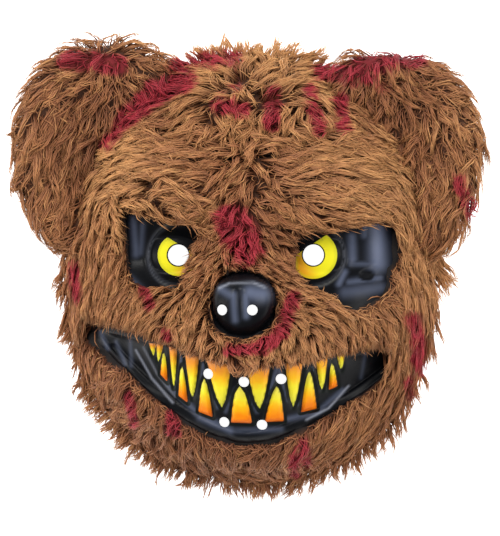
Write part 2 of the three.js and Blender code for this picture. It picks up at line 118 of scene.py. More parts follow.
# The plush's cut-outs, as its solids have them: round each eye, as shares of the socket's half sizes
EYE_CUTOUTS = {
    -1: (
        (-0.84, 0.95),
        (-0.44, 0.82),
        (0.01, 0.66),
        (0.35, 0.58),
        (0.3, 0.11),
        (0.22, -0.28),
        (0.02, -0.7),
        (-0.36, -0.75),
        (-0.7, -0.57),
        (-0.79, -0.12),
    ),
    1: (
        (-0.28, 0.36),
        (0.2, 0.49),
        (0.75, 0.65),
        (1.15, 0.79),
        (1.24, 0.49),
        (1.2, -0.12),
        (1.12, -0.55),
        (0.94, -0.98),
        (0.42, -1.16),
        (0.16, -0.91),
        (-0.04, -0.7),
        (-0.3, -0.18),
    ),
}
MOUTH_CUTOUT = (-0.985, 0.915)

# Front view: points read as (right, up) in millimetres by someone who looks a little from the right
FRONT_TURN = math.radians(4.0)
FRONT_LEVEL = 50.0

# Teeth in the front view. Each has its root's two ends, its tip, and how blunt the tip is
UPPER_TEETH = (
    ((-48.4, -34.0), (-44.6, -34.0), (-45.8, -40.8), 0.2),
    ((-44.4, -34.0), (-40.3, -34.0), (-43.5, -43.9), 0.2),
    ((-37.9, -35.0), (-33.6, -36.6), (-35.7, -56.8), 0.25),
    ((-29.8, -38.5), (-22.6, -40.0), (-26.3, -62.0), 0.3),
    ((-19.2, -41.0), (-6.8, -44.0), (-11.6, -66.3), 0.25),
    ((0.8, -45.0), (12.6, -43.5), (7.2, -67.0), 0.25),
    ((19.6, -42.5), (28.9, -41.5), (24.0, -66.2), 0.25),
    ((34.8, -40.5), (41.4, -38.0), (38.6, -58.0), 0.3),
    ((45.0, -37.0), (50.4, -34.5), (48.3, -48.0), 0.25),
)
LOWER_TEETH = (
    ((-42.6, -50.0), (-38.7, -54.0), (-40.4, -37.8), 0.45),
    ((-33.4, -60.5), (-28.5, -64.2), (-31.3, -44.8), 0.4),
    ((-23.4, -68.4), (-15.9, -71.2), (-20.1, -50.6), 0.3),
    ((-7.1, -73.7), (3.7, -73.9), (-2.7, -54.4), 0.45),
    ((9.6, -73.4), (19.6, -73.2), (15.8, -54.2), 0.3),
    ((27.8, -68.8), (36.1, -67.2), (31.9, -46.8), 0.25),
    ((41.8, -57.8), (46.6, -56.0), (43.3, -43.2), 0.35),
)

# Painted grey light on the black plastic in the front view: from, to, half width and strength
SHEEN = (
    ((-56.5, 29.0), (-55.0, 10.5), 2.0, 0.45),
    ((-51.5, 25.0), (-53.0, 11.0), 1.6, 0.35),
    ((-59.0, -1.0), (-52.0, -8.0), 2.0, 0.4),
    ((53.5, 19.0), (54.0, 8.0), 2.2, 0.6),
    ((66.5, 27.0), (67.0, 6.0), 4.4, 0.85),
    ((60.5, 26.0), (60.0, 20.0), 2.0, 0.5),
    ((50.0, 1.5), (47.0, -4.5), 1.6, 0.6),
    ((53.0, 5.5), (66.0, 5.5), 1.3, 0.4),
    ((52.0, -3.5), (68.0, -1.5), 1.6, 0.5),
    ((50.0, -8.5), (68.0, -6.5), 3.0, 0.4),
    ((-73.5, -29.5), (-70.0, -37.5), 1.4, 0.4),
    ((-65.5, -34.0), (-60.5, -45.0), 1.1, 0.4),
    ((-58.0, -33.0), (-57.5, -46.0), 1.2, 0.3),
    ((-38.0, -54.5), (-22.0, -71.0), 1.8, 0.5),
    ((-22.0, -71.0), (-7.0, -77.5), 2.0, 0.6),
    ((-7.0, -77.5), (18.0, -77.0), 1.6, 0.35),
    ((21.0, -72.0), (36.0, -69.0), 1.6, 0.55),
    ((36.0, -69.0), (49.0, -58.0), 1.4, 0.45),
    ((41.0, -43.0), (44.0, -53.0), 0.8, 0.6),
    ((-10.5, -7.0), (-5.0, -10.5), 2.0, 0.5),
    ((-4.6, -9.5), (-4.2, -22.0), 1.6, 0.6),
    ((4.0, -8.5), (10.0, -9.5), 3.6, 0.75),
    ((1.4, -10.0), (1.4, -20.0), 1.6, 0.65),
    ((60.5, -39.0), (58.5, -52.0), 1.0, 0.2),
    ((31.5, -46.0), (27.0, -65.0), 0.7, 0.6),
    ((33.5, -46.0), (37.5, -57.0), 0.7, 0.6),
    ((15.5, -46.0), (11.0, -62.0), 1.0, 0.55),
    ((16.5, -46.0), (21.5, -62.0), 1.0, 0.55),
    ((-31.5, -41.0), (-33.5, -52.0), 0.8, 0.5),
    ((-20.5, -44.0), (-22.5, -60.0), 0.9, 0.45),
    ((-18.0, -50.0), (-13.5, -66.0), 0.9, 0.35),
    ((-1.0, -56.0), (6.0, -68.0), 1.0, 0.35),
    ((-4.5, -56.0), (-9.5, -68.0), 1.0, 0.3),
)

# Painted highlights along folds in the front view, drawn as thin light lines: from, to, and strength
FOLD_LINES = (
    ((-55.0, -38.0), (-47.0, -52.0), 0.4),
    ((-47.0, -52.0), (-36.0, -64.0), 0.4),
    ((-51.0, -36.5), (-44.0, -50.0), 0.2),
    ((-44.0, -50.0), (-35.0, -61.0), 0.2),
    ((31.0, -72.5), (42.0, -67.0), 0.45),
    ((42.0, -67.0), (52.0, -56.0), 0.45),
    ((-11.8, -6.4), (-6.5, -4.0), 0.4),
    ((-6.5, -4.0), (5.0, -3.6), 0.25),
    ((5.0, -3.6), (11.0, -6.0), 0.4),
)

# Stained patches in the front view: from, to, radius and strength
STAINS = (
    ((-90.0, 110.0), (-64.0, 107.0), 6.0, 0.9),
    ((-71.0, 66.0), (-62.0, 78.0), 5.0, 0.8),
    ((-60.0, 80.0), (-46.0, 92.0), 7.0, 0.95),
    ((-46.0, 92.0), (-30.0, 100.0), 7.5, 1.0),
    ((-34.0, 108.0), (-6.0, 112.0), 6.0, 0.8),
    ((-14.0, 94.0), (-2.0, 98.0), 4.0, 0.5),
    ((-14.0, 86.0), (-1.0, 83.0), 5.0, 0.9),
    ((14.0, 92.0), (13.0, 76.0), 5.0, 0.95),
    ((33.0, 93.0), (37.0, 72.0), 5.0, 0.9),
    ((49.0, 90.0), (50.0, 74.0), 4.0, 0.9),
    ((38.0, 104.0), (60.0, 100.0), 6.0, 0.85),
    ((58.0, 106.0), (86.0, 110.0), 6.5, 0.9),
    ((60.0, 98.0), (72.0, 94.0), 4.0, 0.5),
    ((108.0, 46.0), (115.0, 30.0), 5.0, 0.8),
    ((-6.0, 28.0), (0.0, 12.0), 10.0, 0.95),
    ((24.0, -11.0), (19.0, -27.0), 4.5, 0.9),
    ((19.0, -27.0), (9.0, -35.0), 4.5, 0.95),
    ((9.0, -35.0), (-8.0, -37.0), 4.0, 0.85),
    ((-51.0, -7.0), (-48.0, -14.0), 4.0, 0.8),
    ((-40.0, -27.0), (-38.0, -30.0), 3.0, 0.8),
    ((-88.0, 4.0), (-86.0, -12.0), 4.5, 0.7),
    ((-59.0, -62.0), (-57.0, -76.0), 3.5, 0.8),
    ((-36.0, -68.0), (-36.0, -79.0), 4.5, 0.95),
    ((84.0, -22.0), (90.0, -48.0), 5.5, 0.8),
    ((83.0, -55.0), (85.0, -62.0), 3.5, 0.7),
    ((29.0, -84.0), (32.0, -96.0), 3.5, 0.8),
    ((24.0, -92.0), (26.0, -103.0), 3.5, 0.8),
)

# Where the pile leaves the plastic bare in the front view: left eye, right eye, nose and mouth
OPENINGS = (
    (
        (-60.3, 31.0),
        (-52.3, 28.6),
        (-44.4, 27.3),
        (-35.0, 24.5),
        (-30.5, 25.0),
        (-23.1, 23.5),
        (-24.5, 20.3),
        (-26.8, 14.8),
        (-28.7, 12.9),
        (-28.7, 9.2),
        (-31.0, 5.5),
        (-31.9, 3.2),
        (-32.4, -1.9),
        (-33.8, -6.0),
        (-44.4, -5.6),
        (-47.6, -3.8),
        (-56.0, -1.9),
        (-58.3, 4.1),
        (-59.2, 10.1),
        (-60.6, 24.0),
    ),
    (
        (25.4, 14.9),
        (28.2, 19.1),
        (32.8, 20.3),
        (40.7, 21.0),
        (49.4, 21.7),
        (57.3, 23.7),
        (63.8, 24.9),
        (74.4, 26.7),
        (76.3, 23.3),
        (77.7, 11.7),
        (77.2, 6.6),
        (73.5, 3.8),
        (73.0, -1.8),
        (74.4, -3.1),
        (71.2, -9.2),
        (66.6, -11.9),
        (63.8, -13.8),
        (56.8, -16.5),
        (49.9, -17.5),
        (47.1, -13.8),
        (45.3, -7.8),
        (39.7, -8.7),
        (32.8, -5.9),
        (28.6, -1.8),
        (25.9, 2.5),
        (25.4, 6.6),
        (26.8, 11.7),
    ),
    (
        (-15.0, -14.0),
        (-13.5, -6.0),
        (-8.5, 1.0),
        (0.0, 2.2),
        (7.5, 0.6),
        (13.0, -5.0),
        (15.0, -14.0),
        (13.0, -22.0),
        (8.0, -27.6),
        (0.0, -30.0),
        (-8.0, -28.5),
        (-13.5, -22.0),
    ),
    (
        (-85.0, -25.0),
        (-77.9, -25.4),
        (-71.0, -26.2),
        (-60.7, -28.4),
        (-53.8, -30.4),
        (-48.7, -32.4),
        (-45.2, -34.4),
        (-38.9, -35.2),
        (-33.7, -36.4),
        (-29.7, -40.1),
        (-22.8, -41.8),
        (-19.4, -42.7),
        (-13.6, -44.7),
        (-7.3, -48.7),
        (-2.2, -50.4),
        (6.2, -50.5),
        (11.3, -46.8),
        (18.3, -46.1),
        (28.5, -44.8),
        (33.0, -43.9),
        (40.7, -42.3),
        (45.1, -40.4),
        (52.1, -40.4),
        (57.2, -38.8),
        (66.5, -37.8),
        (76.0, -41.8),
        (70.5, -46.5),
        (66.0, -51.6),
        (59.2, -58.9),
        (50.9, -63.3),
        (41.3, -68.4),
        (33.6, -74.8),
        (22.3, -80.0),
        (15.8, -84.4),
        (-3.4, -85.2),
        (-13.0, -82.6),
        (-22.4, -79.4),
        (-30.9, -73.4),
        (-36.6, -67.7),
        (-45.8, -60.2),
        (-53.8, -52.7),
        (-60.7, -47.0),
        (-66.9, -45.4),
        (-75.0, -39.0),
        (-80.0, -34.0),
        (-84.5, -29.0),
    ),
)

# How the pile lies in the front view: place, heading in degrees, length, mess and how pale it is; the paleness is
# painted highlight where high and painted shade where low
HEAD_LIE = (
    (-22, 104, 150, 22, 0.4, 0.85),
    (-8, 108, 100, 20, 0.5, 0.95),
    (8, 107, 80, 20, 0.5, 0.95),
    (32, 105, 20, 22, 0.4, 0.85),
    (-14, 98, 170, 22, 0.4, 0.95),
    (10, 98, 60, 20, 0.6, 0.95),
    (30, 95, -10, 22, 0.4, 0.9),
    (62, 92, 0, 22, 0.3, 0.6),
    (-50, 98, 190, 22, 0.3, 0.6),
    (-25, 88, -150, 22, 0.5, 0.65),
    (-5, 82, -100, 20, 0.8, 0.65),
    (12, 78, -85, 20, 0.9, 0.65),
    (32, 82, -70, 20, 0.8, 0.65),
    (50, 80, -40, 22, 0.5, 0.45),
    (-35, 78, -120, 22, 0.6, 0.4),
    (-52, 74, 160, 22, 0.4, 0.95),
    (-10, 62, 190, 20, 0.4, 0.5),
    (-30, 60, 178, 24, 0.25, 0.6),
    (-50, 58, 170, 24, 0.25, 0.95),
    (-62, 66, 140, 22, 0.3, 1.0),
    (-72, 50, -150, 22, 0.3, 0.75),
    (-76, 30, -110, 22, 0.3, 0.5),
    (-56, 44, -172, 18, 0.3, 0.9),
    (-65, 37, -62, 16, 0.3, 0.8),
    (-58, 34, -25, 18, 0.3, 0.8),
    (-42, 36, -20, 20, 0.3, 0.75),
    (-25, 32, -25, 18, 0.3, 0.65),
    (-20, 45, -175, 20, 0.3, 0.55),
    (-12, 34, -125, 16, 0.4, 0.5),
    (0, 52, -90, 18, 0.4, 0.4),
    (14, 60, 10, 20, 0.4, 0.5),
    (34, 64, 12, 24, 0.25, 0.75),
    (30, 45, 2, 24, 0.25, 0.65),
    (52, 52, 4, 26, 0.2, 0.9),
    (58, 38, -10, 24, 0.2, 0.8),
    (66, 60, 5, 22, 0.3, 0.9),
    (74, 50, -35, 22, 0.3, 0.8),
    (78, 30, -62, 22, 0.3, 0.75),
    (20, 30, -20, 16, 0.3, 0.6),
    (-12, 22, -130, 14, 0.5, 0.4),
    (8, 24, -50, 14, 0.5, 0.4),
    (-22, 17, -155, 15, 0.3, 0.5),
    (-24, 8, -145, 15, 0.3, 0.5),
    (-24, -2, -130, 15, 0.3, 0.5),
    (16, 8, -40, 13, 0.5, 0.45),
    (0, 6, -80, 10, 0.6, 0.4),
    (-70, 8, -105, 22, 0.3, 0.55),
    (-70, -7, -110, 22, 0.3, 0.6),
    (-87, 0, -92, 24, 0.3, 0.45),
    (-42, -17, -118, 20, 0.3, 0.65),
    (-58, -16, -115, 20, 0.3, 0.6),
    (-24, -12, -98, 16, 0.3, 0.7),
    (-22, -28, -100, 15, 0.3, 0.65),
    (-57, -25, -112, 15, 0.3, 0.5),
    (-40, -28, -105, 14, 0.3, 0.55),
    (-5, -37, -66, 11, 0.3, 0.55),
    (4, -37, -114, 11, 0.3, 0.55),
    (-12, -36, -92, 10, 0.4, 0.6),
    (21, -10, -25, 15, 0.3, 0.6),
    (36, -12, -38, 18, 0.3, 0.7),
    (52, -20, -62, 18, 0.3, 0.65),
    (24, -30, -80, 12, 0.3, 0.75),
    (40, -31, -85, 12, 0.3, 0.65),
    (56, -30, -82, 13, 0.3, 0.55),
    (72, -20, -75, 22, 0.3, 0.6),
    (86, 0, -72, 24, 0.3, 0.7),
    (89, -20, -105, 22, 0.3, 0.5),
    (80, 14, -70, 22, 0.3, 0.75),
    (94, -28, -82, 24, 0.3, 0.5),
    (91, -48, -76, 22, 0.3, 0.45),
    (74, -46, -118, 20, 0.3, 0.55),
    (60, -66, -117, 22, 0.3, 0.6),
    (82, -62, -98, 22, 0.3, 0.45),
    (38, -82, -95, 22, 0.3, 0.45),
    (58, -84, -112, 22, 0.3, 0.45),
    (12, -92, -90, 22, 0.3, 0.35),
    (-10, -92, -90, 22, 0.3, 0.3),
    (-38, -84, -112, 22, 0.3, 0.35),
    (-52, -70, -130, 20, 0.3, 0.45),
    (-72, -58, -148, 20, 0.3, 0.4),
    (-84, -40, -125, 22, 0.3, 0.4),
    (-76, -30, -110, 18, 0.3, 0.45),
    (-30, -90, -105, 22, 0.3, 0.3),
)
# The ears' pile with the same columns; the low paleness inside each ear is painted shade
EAR_LIE = (
    (-110, 104, 210, 18, 0.4, 0.6),
    (-119, 84, 225, 20, 0.4, 0.75),
    (-106, 116, 165, 16, 0.4, 0.65),
    (-92, 120, 130, 14, 0.4, 0.65),
    (-80, 121, 100, 14, 0.4, 0.65),
    (-66, 118, 60, 14, 0.4, 0.65),
    (-94, 109, 185, 16, 0.4, 0.5),
    (-81, 110, 205, 16, 0.6, 0.5),
    (-71, 108, -90, 16, 0.8, 0.5),
    (-61, 108, -35, 16, 0.5, 0.5),
    (-96, 99, 215, 20, 0.4, 0.45),
    (-80, 100, 225, 18, 0.4, 0.45),
    (-62, 98, -60, 16, 0.4, 0.45),
    (-92, 88, -118, 22, 0.4, 0.35),
    (-104, 78, -118, 24, 0.4, 0.5),
    (-80, 68, -92, 24, 0.4, 0.25),
    (-112, 57, -112, 24, 0.4, 0.55),
    (-94, 42, -88, 24, 0.4, 0.5),
    (-84, 34, -130, 20, 0.4, 0.5),
    (-70, 90, -80, 20, 0.6, 0.3),
    (58, 108, -130, 16, 0.5, 0.5),
    (74, 110, -60, 16, 0.5, 0.5),
    (84, 98, -70, 16, 0.8, 0.35),
    (92, 104, 5, 18, 0.4, 0.4),
    (60, 84, -92, 20, 0.7, 0.25),
    (72, 76, -90, 20, 0.7, 0.3),
    (88, 66, -88, 22, 0.5, 0.45),
    (110, 84, -58, 20, 0.4, 0.65),
    (104, 96, -30, 18, 0.4, 0.65),
    (114, 60, -80, 20, 0.4, 0.65),
    (108, 38, -100, 22, 0.4, 0.55),
    (96, 18, -118, 22, 0.4, 0.5),
    (90, 40, -95, 22, 0.4, 0.5),
)

# The plush pieces, and the most strands that each may have
HEAD_PANELS = {
    "crown_fur": 6400,
    "brow_fur_left": 5000,
    "brow_fur_right": 5000,
    "cheek_fur_left": 7000,
    "cheek_fur_right": 7000,
    "jaw_fur": 7600,
}
EARS = {"ear_left": 6500, "ear_right": 6500}

# How far each panel's body keeps out from the face, as a share of its solid's height over it
BODY_SHARES = {
    "crown_fur": 0.45,
    "brow_fur_left": 0.85,
    "brow_fur_right": 0.85,
    "cheek_fur_left": 0.6,
    "cheek_fur_right": 0.6,
    "jaw_fur": 0.6,
}


def display_colour(red, green, blue):
    """A colour given as it shows on a screen, from 0 to 255, in linear light."""
    shares = [channel / 255 for channel in (red, green, blue)]
    return tuple(s / 12.92 if s <= 0.04045 else ((s + 0.055) / 1.055) ** 2.4 for s in shares)


# Numbers that vary over a face, in numpy


def clamp_unit(values):
    return np.clip(values, 0.0, 1.0)


def smooth_step(low, high, values):
    share = clamp_unit((values - low) / (high - low))
    return share * share * (3 - 2 * share)


def unit_rows(vectors):
    return vectors / np.maximum(np.linalg.norm(vectors, axis=-1, keepdims=True), 1e-9)


def capsule_distance(points, start, end):
    """How far points lie from the line between two points."""
    start = np.array(start, float)
    along = np.array(end, float) - start
    share = clamp_unit((points - start) @ along / max(along @ along, 1e-9))
    return np.linalg.norm(points - start - share[:, None] * along, axis=1)


def polygon_depth(points, corners):
    """How deep points lie in a polygon, below zero outside it."""
    corners = np.array(corners, float)
    nearest = np.full(len(points), 1e9)
    inside = np.zeros(len(points), bool)
    for start, end in zip(corners, np.roll(corners, -1, axis=0)):
        nearest = np.minimum(nearest, capsule_distance(points, start, end))
        crosses = (start[1] > points[:, 1]) != (end[1] > points[:, 1])
        rise = end[1] - start[1] if end[1] != start[1] else 1e-9
        meets = start[0] + (points[:, 1] - start[1]) * (end[0] - start[0]) / rise
        inside ^= crosses & (points[:, 0] < meets)
    return np.where(inside, nearest, -nearest)


# The face's surface


def rim_reach(y):
    return HALF_HEIGHT + CROWN_RISE * (np.asarray(y) > 0)


def rim_share(x, y):
    across = (np.abs(x) / HALF_WIDTH) ** OUTLINE_POWER
    up = (np.abs(y) / rim_reach(y)) ** OUTLINE_POWER
    return (across + up) ** (1 / OUTLINE_POWER)


def swell(u, v):
    return clamp_unit(1 - u * u - v * v) ** 2


def mouth_middle(across):
    return -MOUTH_DROP + SMILE_RISE * np.abs(across) ** SMILE_POWER


def mouth_half(across):
    return MOUTH_OPENING / 2 * np.maximum(0.0, 1 - across * across)


def turned_about_mouth(x, y, angle):
    c = math.cos(angle)
    s = math.sin(angle)
    up = y + MOUTH_DROP
    return x * c - up * s, x * s + up * c - MOUTH_DROP


def mouth_point(across, up):
    """A point of the mouth, by its place across and up as shares of its half width and half height."""
    level = mouth_middle(across) + up * mouth_half(across)
    return turned_about_mouth(across * MOUTH_WIDTH / 2, level, math.radians(MOUTH_ROLL))


def mouth_shares(x, y):
    """The place of a point across and up in the mouth."""
    level_x, level_y = turned_about_mouth(x, y, -math.radians(MOUTH_ROLL))
    across = level_x / (MOUTH_WIDTH / 2)
    return across, (level_y - mouth_middle(across)) / np.maximum(mouth_half(across), 1e-6)


def face_height(x, y):
    """Height of the plastic face over its rim, without the parts that stand on it."""
    x = np.asarray(x, float)
    y = np.asarray(y, float)
    share = np.minimum(1.0, rim_share(x, y))
    height = DOME_HEIGHT * np.sqrt(1 - share**DOME_POWER)
    fade = 1 - share**8
    for place_x, place_y, half_x, half_y, rise, twin in RELIEF:
        for side in (-1, 1) if twin else (1,):
            u = (x / HALF_WIDTH - side * place_x) / half_x
            v = (y / HALF_HEIGHT - place_y) / half_y
            height = height + fade * rise * DOME_HEIGHT * swell(u, v)
    for side in (-1, 1):
        u = (x - side * EYE_SPACING / 2) / (SOCKET_WIDTH / 2)
        v = (y - EYE_HEIGHT) / (SOCKET_HEIGHT / 2)
        height = height - fade * SOCKET_DEPTH * swell(u, v)
    across, up = mouth_shares(x, y)
    open_share = clamp_unit(1 - up**4) * clamp_unit(4 * (1 - across * across)) * (mouth_half(across) > 0)
    return height - fade * MOUTH_DEPTH * open_share


def face_points(bearing, way):
    """Points of the surface, by their bearing and how far they lie from the middle to the rim."""
    share = np.sin(clamp_unit(way) * math.pi / 2)
    power = 2 / OUTLINE_POWER
    c = np.cos(bearing)
    s = np.sin(bearing)
    x = HALF_WIDTH * share * np.sign(c) * np.abs(c) ** power
    y = rim_reach(s) * share * np.sign(s) * np.abs(s) ** power
    z = np.where(share >= 1, 0.0, face_height(x, y))
    return np.stack([x, y, z], axis=-1)


def face_normals(bearing, way):
    step = 0.04
    along = face_points(bearing, way + step) - face_points(bearing, way - step)
    around = face_points(bearing + step, way) - face_points(bearing - step, way)
    normals = np.cross(along, around)
    normals[way >= 1, 2] = 0
    centre = way < 0.02
    normals[centre] = (0, 0, 1)
    return unit_rows(normals)


def from_front(u, v):
    """The point of the face that shows at a place in the front view."""
    u = np.asarray(u, float)
    v = np.asarray(v, float)
    x = u.copy()
    for _ in range(4):
        x = (u + (face_height(x, v) - FRONT_LEVEL) * math.sin(FRONT_TURN)) / math.cos(FRONT_TURN)
    return x, v


def to_front(points):
    """Where points show in the front view."""
    across = points[..., 0] * math.cos(FRONT_TURN) - (points[..., 2] - FRONT_LEVEL) * math.sin(FRONT_TURN)
    return np.stack([across, points[..., 1]], axis=-1)


def seen_point(place):
    x, y = from_front(place[0], place[1])
    return float(x), float(y)


# Meshes


def row_coordinates(points):
    return (points + np.array(FACE_SHIFT)) * MM


def face_coordinates(mesh):
    places = np.empty(len(mesh.vertices) * 3)
    mesh.vertices.foreach_get("co", places)
    return places.reshape(-1, 3) / MM - np.array(FACE_SHIFT)


def set_coordinates(mesh, points):
    mesh.vertices.foreach_set("co", row_coordinates(points).ravel())
    mesh.update()


def triangles_of(mesh):
    mesh.calc_loop_triangles()
    corners = np.empty(len(mesh.loop_triangles) * 3, np.int32)
    mesh.loop_triangles.foreach_get("vertices", corners)
    return corners.reshape(-1, 3)


def mesh_of_triangles(name, points, triangles):
    mesh = bpy.data.meshes.new(name)
    mesh.vertices.add(len(points))
    mesh.vertices.foreach_set("co", row_coordinates(points).ravel())
    mesh.loops.add(triangles.size)
    mesh.loops.foreach_set("vertex_index", triangles.ravel().astype(np.int32))
    mesh.polygons.add(len(triangles))
    mesh.polygons.foreach_set("loop_start", np.arange(0, triangles.size, 3, dtype=np.int32))
    mesh.update(calc_edges=True)
    return mesh


def write_attribute(mesh, name, values):
    layer = mesh.attributes.new(name, "FLOAT", "POINT")
    layer.data.foreach_set("value", np.asarray(values, np.float32))


def new_object(name, mesh):
    made = bpy.data.objects.new(name, mesh)
    bpy.context.scene.collection.objects.link(made)
    return made


def with_modifiers_applied(made):
    """The object's mesh with its modifiers baked in."""
    graph = bpy.context.evaluated_depsgraph_get()
    baked = bpy.data.meshes.new_from_object(made.evaluated_get(graph))
    baked.materials.clear()
    old = made.data
    made.modifiers.clear()
    made.data = baked
    bpy.data.meshes.remove(old)
    return baked


def remove_object(made):
    mesh = made.data
    bpy.data.objects.remove(made)
    bpy.data.meshes.remove(mesh)


# Shader graphs


class Wire:
    """A shader socket that takes part in Python expressions."""

    def __init__(self, graph, socket):
        self.graph = graph
        self.socket = socket

    def _maths(self, operation, *values, clamp=False):
        inputs = dict(enumerate(values))
        return self.graph.node("ShaderNodeMath", {"operation": operation, "use_clamp": clamp}, inputs)

    def __add__(self, other):
        return self._maths("ADD", self, other)

    def __radd__(self, other):
        return self._maths("ADD", other, self)

    def __sub__(self, other):
        return self._maths("SUBTRACT", self, other)

    def __rsub__(self, other):
        return self._maths("SUBTRACT", other, self)

    def __mul__(self, other):
        return self._maths("MULTIPLY", self, other)

    def __rmul__(self, other):
        return self._maths("MULTIPLY", other, self)

    def __truediv__(self, other):
        return self._maths("DIVIDE", self, other)

    def least(self, other):
        return self._maths("MINIMUM", self, other)

    def most(self, other):
        return self._maths("MAXIMUM", self, other)

    def unit(self):
        return self._maths("ADD", self, 0.0, clamp=True)

    def step(self, low, high):
        """From 0 at low to 1 at high, smoothly."""
        settings = {"interpolation_type": "SMOOTHSTEP"}
        return self.graph.node("ShaderNodeMapRange", settings, {0: self, 1: low, 2: high, 3: 0.0, 4: 1.0})


class Graph:
    """The node tree of one material."""

    def __init__(self, name):
        self.material = bpy.data.materials.new(name)
        self.material.use_nodes = True
        self.tree = self.material.node_tree
        self.tree.nodes.clear()

    def node(self, kind, settings, inputs, output=0):
        made = self.tree.nodes.new(kind)
        for key, value in settings.items():
            if key == "stops":
                self._set_stops(made.color_ramp, value)
            else:
                setattr(made, key, value)
        for key, value in inputs.items():
            if isinstance(value, Wire):
                self.tree.links.new(value.socket, made.inputs[key])
            else:
                made.inputs[key].default_value = value
        return Wire(self, made.outputs[output]) if made.outputs else None

    @staticmethod
    def _set_stops(ramp, stops):
        while len(ramp.elements) < len(stops):
            ramp.elements.new(0.5)
        for element, (place, colour) in zip(ramp.elements, stops):
            element.position = place
            element.color = (*colour, 1.0)

    def attribute(self, name):
        return self.node("ShaderNodeAttribute", {"attribute_name": name}, {}, "Fac")

    def places(self):
        return self.node("ShaderNodeTexCoord", {}, {}, "Object")

    def noise(self, scale, detail=3.0, roughness=0.5):
        inputs = {"Vector": self.places(), "Scale": scale, "Detail": detail, "Roughness": roughness}
        return self.node("ShaderNodeTexNoise", {}, inputs, 0)

    def ramp(self, factor, stops):
        return self.node("ShaderNodeValToRGB", {"stops": stops}, {"Fac": factor})

    def mix(self, factor, first, second):
        inputs = {0: factor, 6: self._colour(first), 7: self._colour(second)}
        return self.node("ShaderNodeMix", {"data_type": "RGBA"}, inputs, 2)

    @staticmethod
    def _colour(value):
        return value if isinstance(value, Wire) else (*tuple(value)[:3], 1.0)

    def bump(self, height, strength, distance):
        inputs = {"Height": height, "Strength": strength, "Distance": distance}
        return self.node("ShaderNodeBump", {}, inputs)

    def finish(self, inputs):
        shader = self.node("ShaderNodeBsdfPrincipled", {}, inputs)
        self.node("ShaderNodeOutputMaterial", {}, {"Surface": shader})
        return self.material


# The plastic face

SHELL_COLUMNS = 96
SHELL_ROWS = 110
FINE_CUTS = 2
WINDOW_MARGIN = 3.0


def window_outlines():
    """The cut-outs of the plush, as polygons in the face's frame."""
    outlines = []
    for side, corners in EYE_CUTOUTS.items():
        centre = side * EYE_SPACING / 2
        outlines.append([(centre + u * SOCKET_WIDTH / 2, EYE_HEIGHT + v * SOCKET_HEIGHT / 2) for u, v in corners])
    turns = np.linspace(0, 2 * math.pi, 24, endpoint=False)
    wide = NOSE_WIDTH / 2
    tall = NOSE_HEIGHT / 2
    outlines.append([(wide * math.cos(t) + NOSE_SHIFT, tall * math.sin(t) - NOSE_DROP) for t in turns])
    steps = np.linspace(MOUTH_CUTOUT[0], MOUTH_CUTOUT[1], 25)
    lower = [mouth_point(across, -1.0) for across in steps]
    upper = [mouth_point(across, 1.0) for across in steps[::-1]]
    outlines.append(lower + upper)
    return outlines


def window_depth(points):
    """How deep points lie in the nearest cut-out, below zero on the plush."""
    depth = np.full(len(points), -1e9)
    for outline in window_outlines():
        depth = np.maximum(depth, polygon_depth(points, outline))
    return depth


def opening_depth(points):
    """How deep points lie in what the pile leaves bare, as they show from the front."""
    front = to_front(points)
    depth = np.full(len(points), -1e9)
    for outline in OPENINGS:
        depth = np.maximum(depth, polygon_depth(front, outline))
    return depth


def disc_bearing_and_way(square):
    """The grid's square drawn out to a disc: the bearing and way of each of its points."""
    u = square[:, 0] * np.sqrt(1 - square[:, 1] ** 2 / 2)
    v = square[:, 1] * np.sqrt(1 - square[:, 0] ** 2 / 2)
    return np.arctan2(v, u), np.minimum(1.0, np.hypot(u, v))


def smooth_top(first, second, blend):
    """The higher of two heights, rounded where they cross."""
    share = clamp_unit(0.5 + (first - second) / (2 * blend))
    return second + (first - second) * share + blend * share * (1 - share)


def eyeball_heights(x, y, grow):
    """The eyeballs' heights, and minus infinity off them."""
    top = np.full(len(x), -1e9)
    radius = EYEBALL_RADIUS + grow
    for side in (-1, 1):
        centre = side * EYE_SPACING / 2
        away = np.hypot(x - centre, y - EYE_HEIGHT) / radius
        base = face_height(centre, EYE_HEIGHT)
        cap = base + (EYEBALL_RISE + grow) * np.sqrt(clamp_unit(1 - away**2))
        top = np.maximum(top, np.where(away < 1, cap, -1e9))
    return top


def nose_heights(x, y, grow):
    """The nose's height: one rounded form with a flat brow, two lobes and a groove between them."""
    base = face_height(NOSE_SHIFT, -NOSE_DROP)
    across = (x - NOSE_SHIFT - NOSE_LEAN) / (NOSE_WIDTH * 0.48 + grow)
    up = (y + NOSE_DROP) / (NOSE_HEIGHT * 0.49 + grow)
    across = across * (1 + NOSE_NARROWING * smooth_step(0.2, -1.0, up))
    away = np.abs(across) ** 2.2 + np.abs(up) ** np.where(up > 0, 2.6, 2.1)
    cap = base + (NOSE_RISE + grow) * clamp_unit(1 - away) ** 0.42
    groove = np.exp(-(((x - NOSE_SHIFT - NOSE_LEAN / 2) / 1.3) ** 2))
    cap = cap - 1.5 * groove * smooth_step(0.75, 0.3, np.abs(up))
    cap = cap - 3.2 * smooth_step(0.5, 1.0, up)
    return np.where(away < 1, cap, -1e9)


def tooth_outline(tooth):
    """A tooth's polygon in the face's frame: curved sides from its root to its tip."""
    left, right, tip, blunt = tooth
    left, right, tip = (np.array(place) for place in (left, right, tip))
    middle = (left + right) / 2
    half = (right - left) / 2
    shares = np.linspace(0, 1, 6)
    widths = (1 - shares) ** 0.85 * (1 - blunt) + blunt * np.sqrt(1 - shares**3)
    rights = [middle + (tip - middle) * s + half * w for s, w in zip(shares, widths)]
    lefts = [middle + (tip - middle) * s - half * w for s, w in zip(shares, widths)]
    return [seen_point(place) for place in rights + lefts[::-1]]


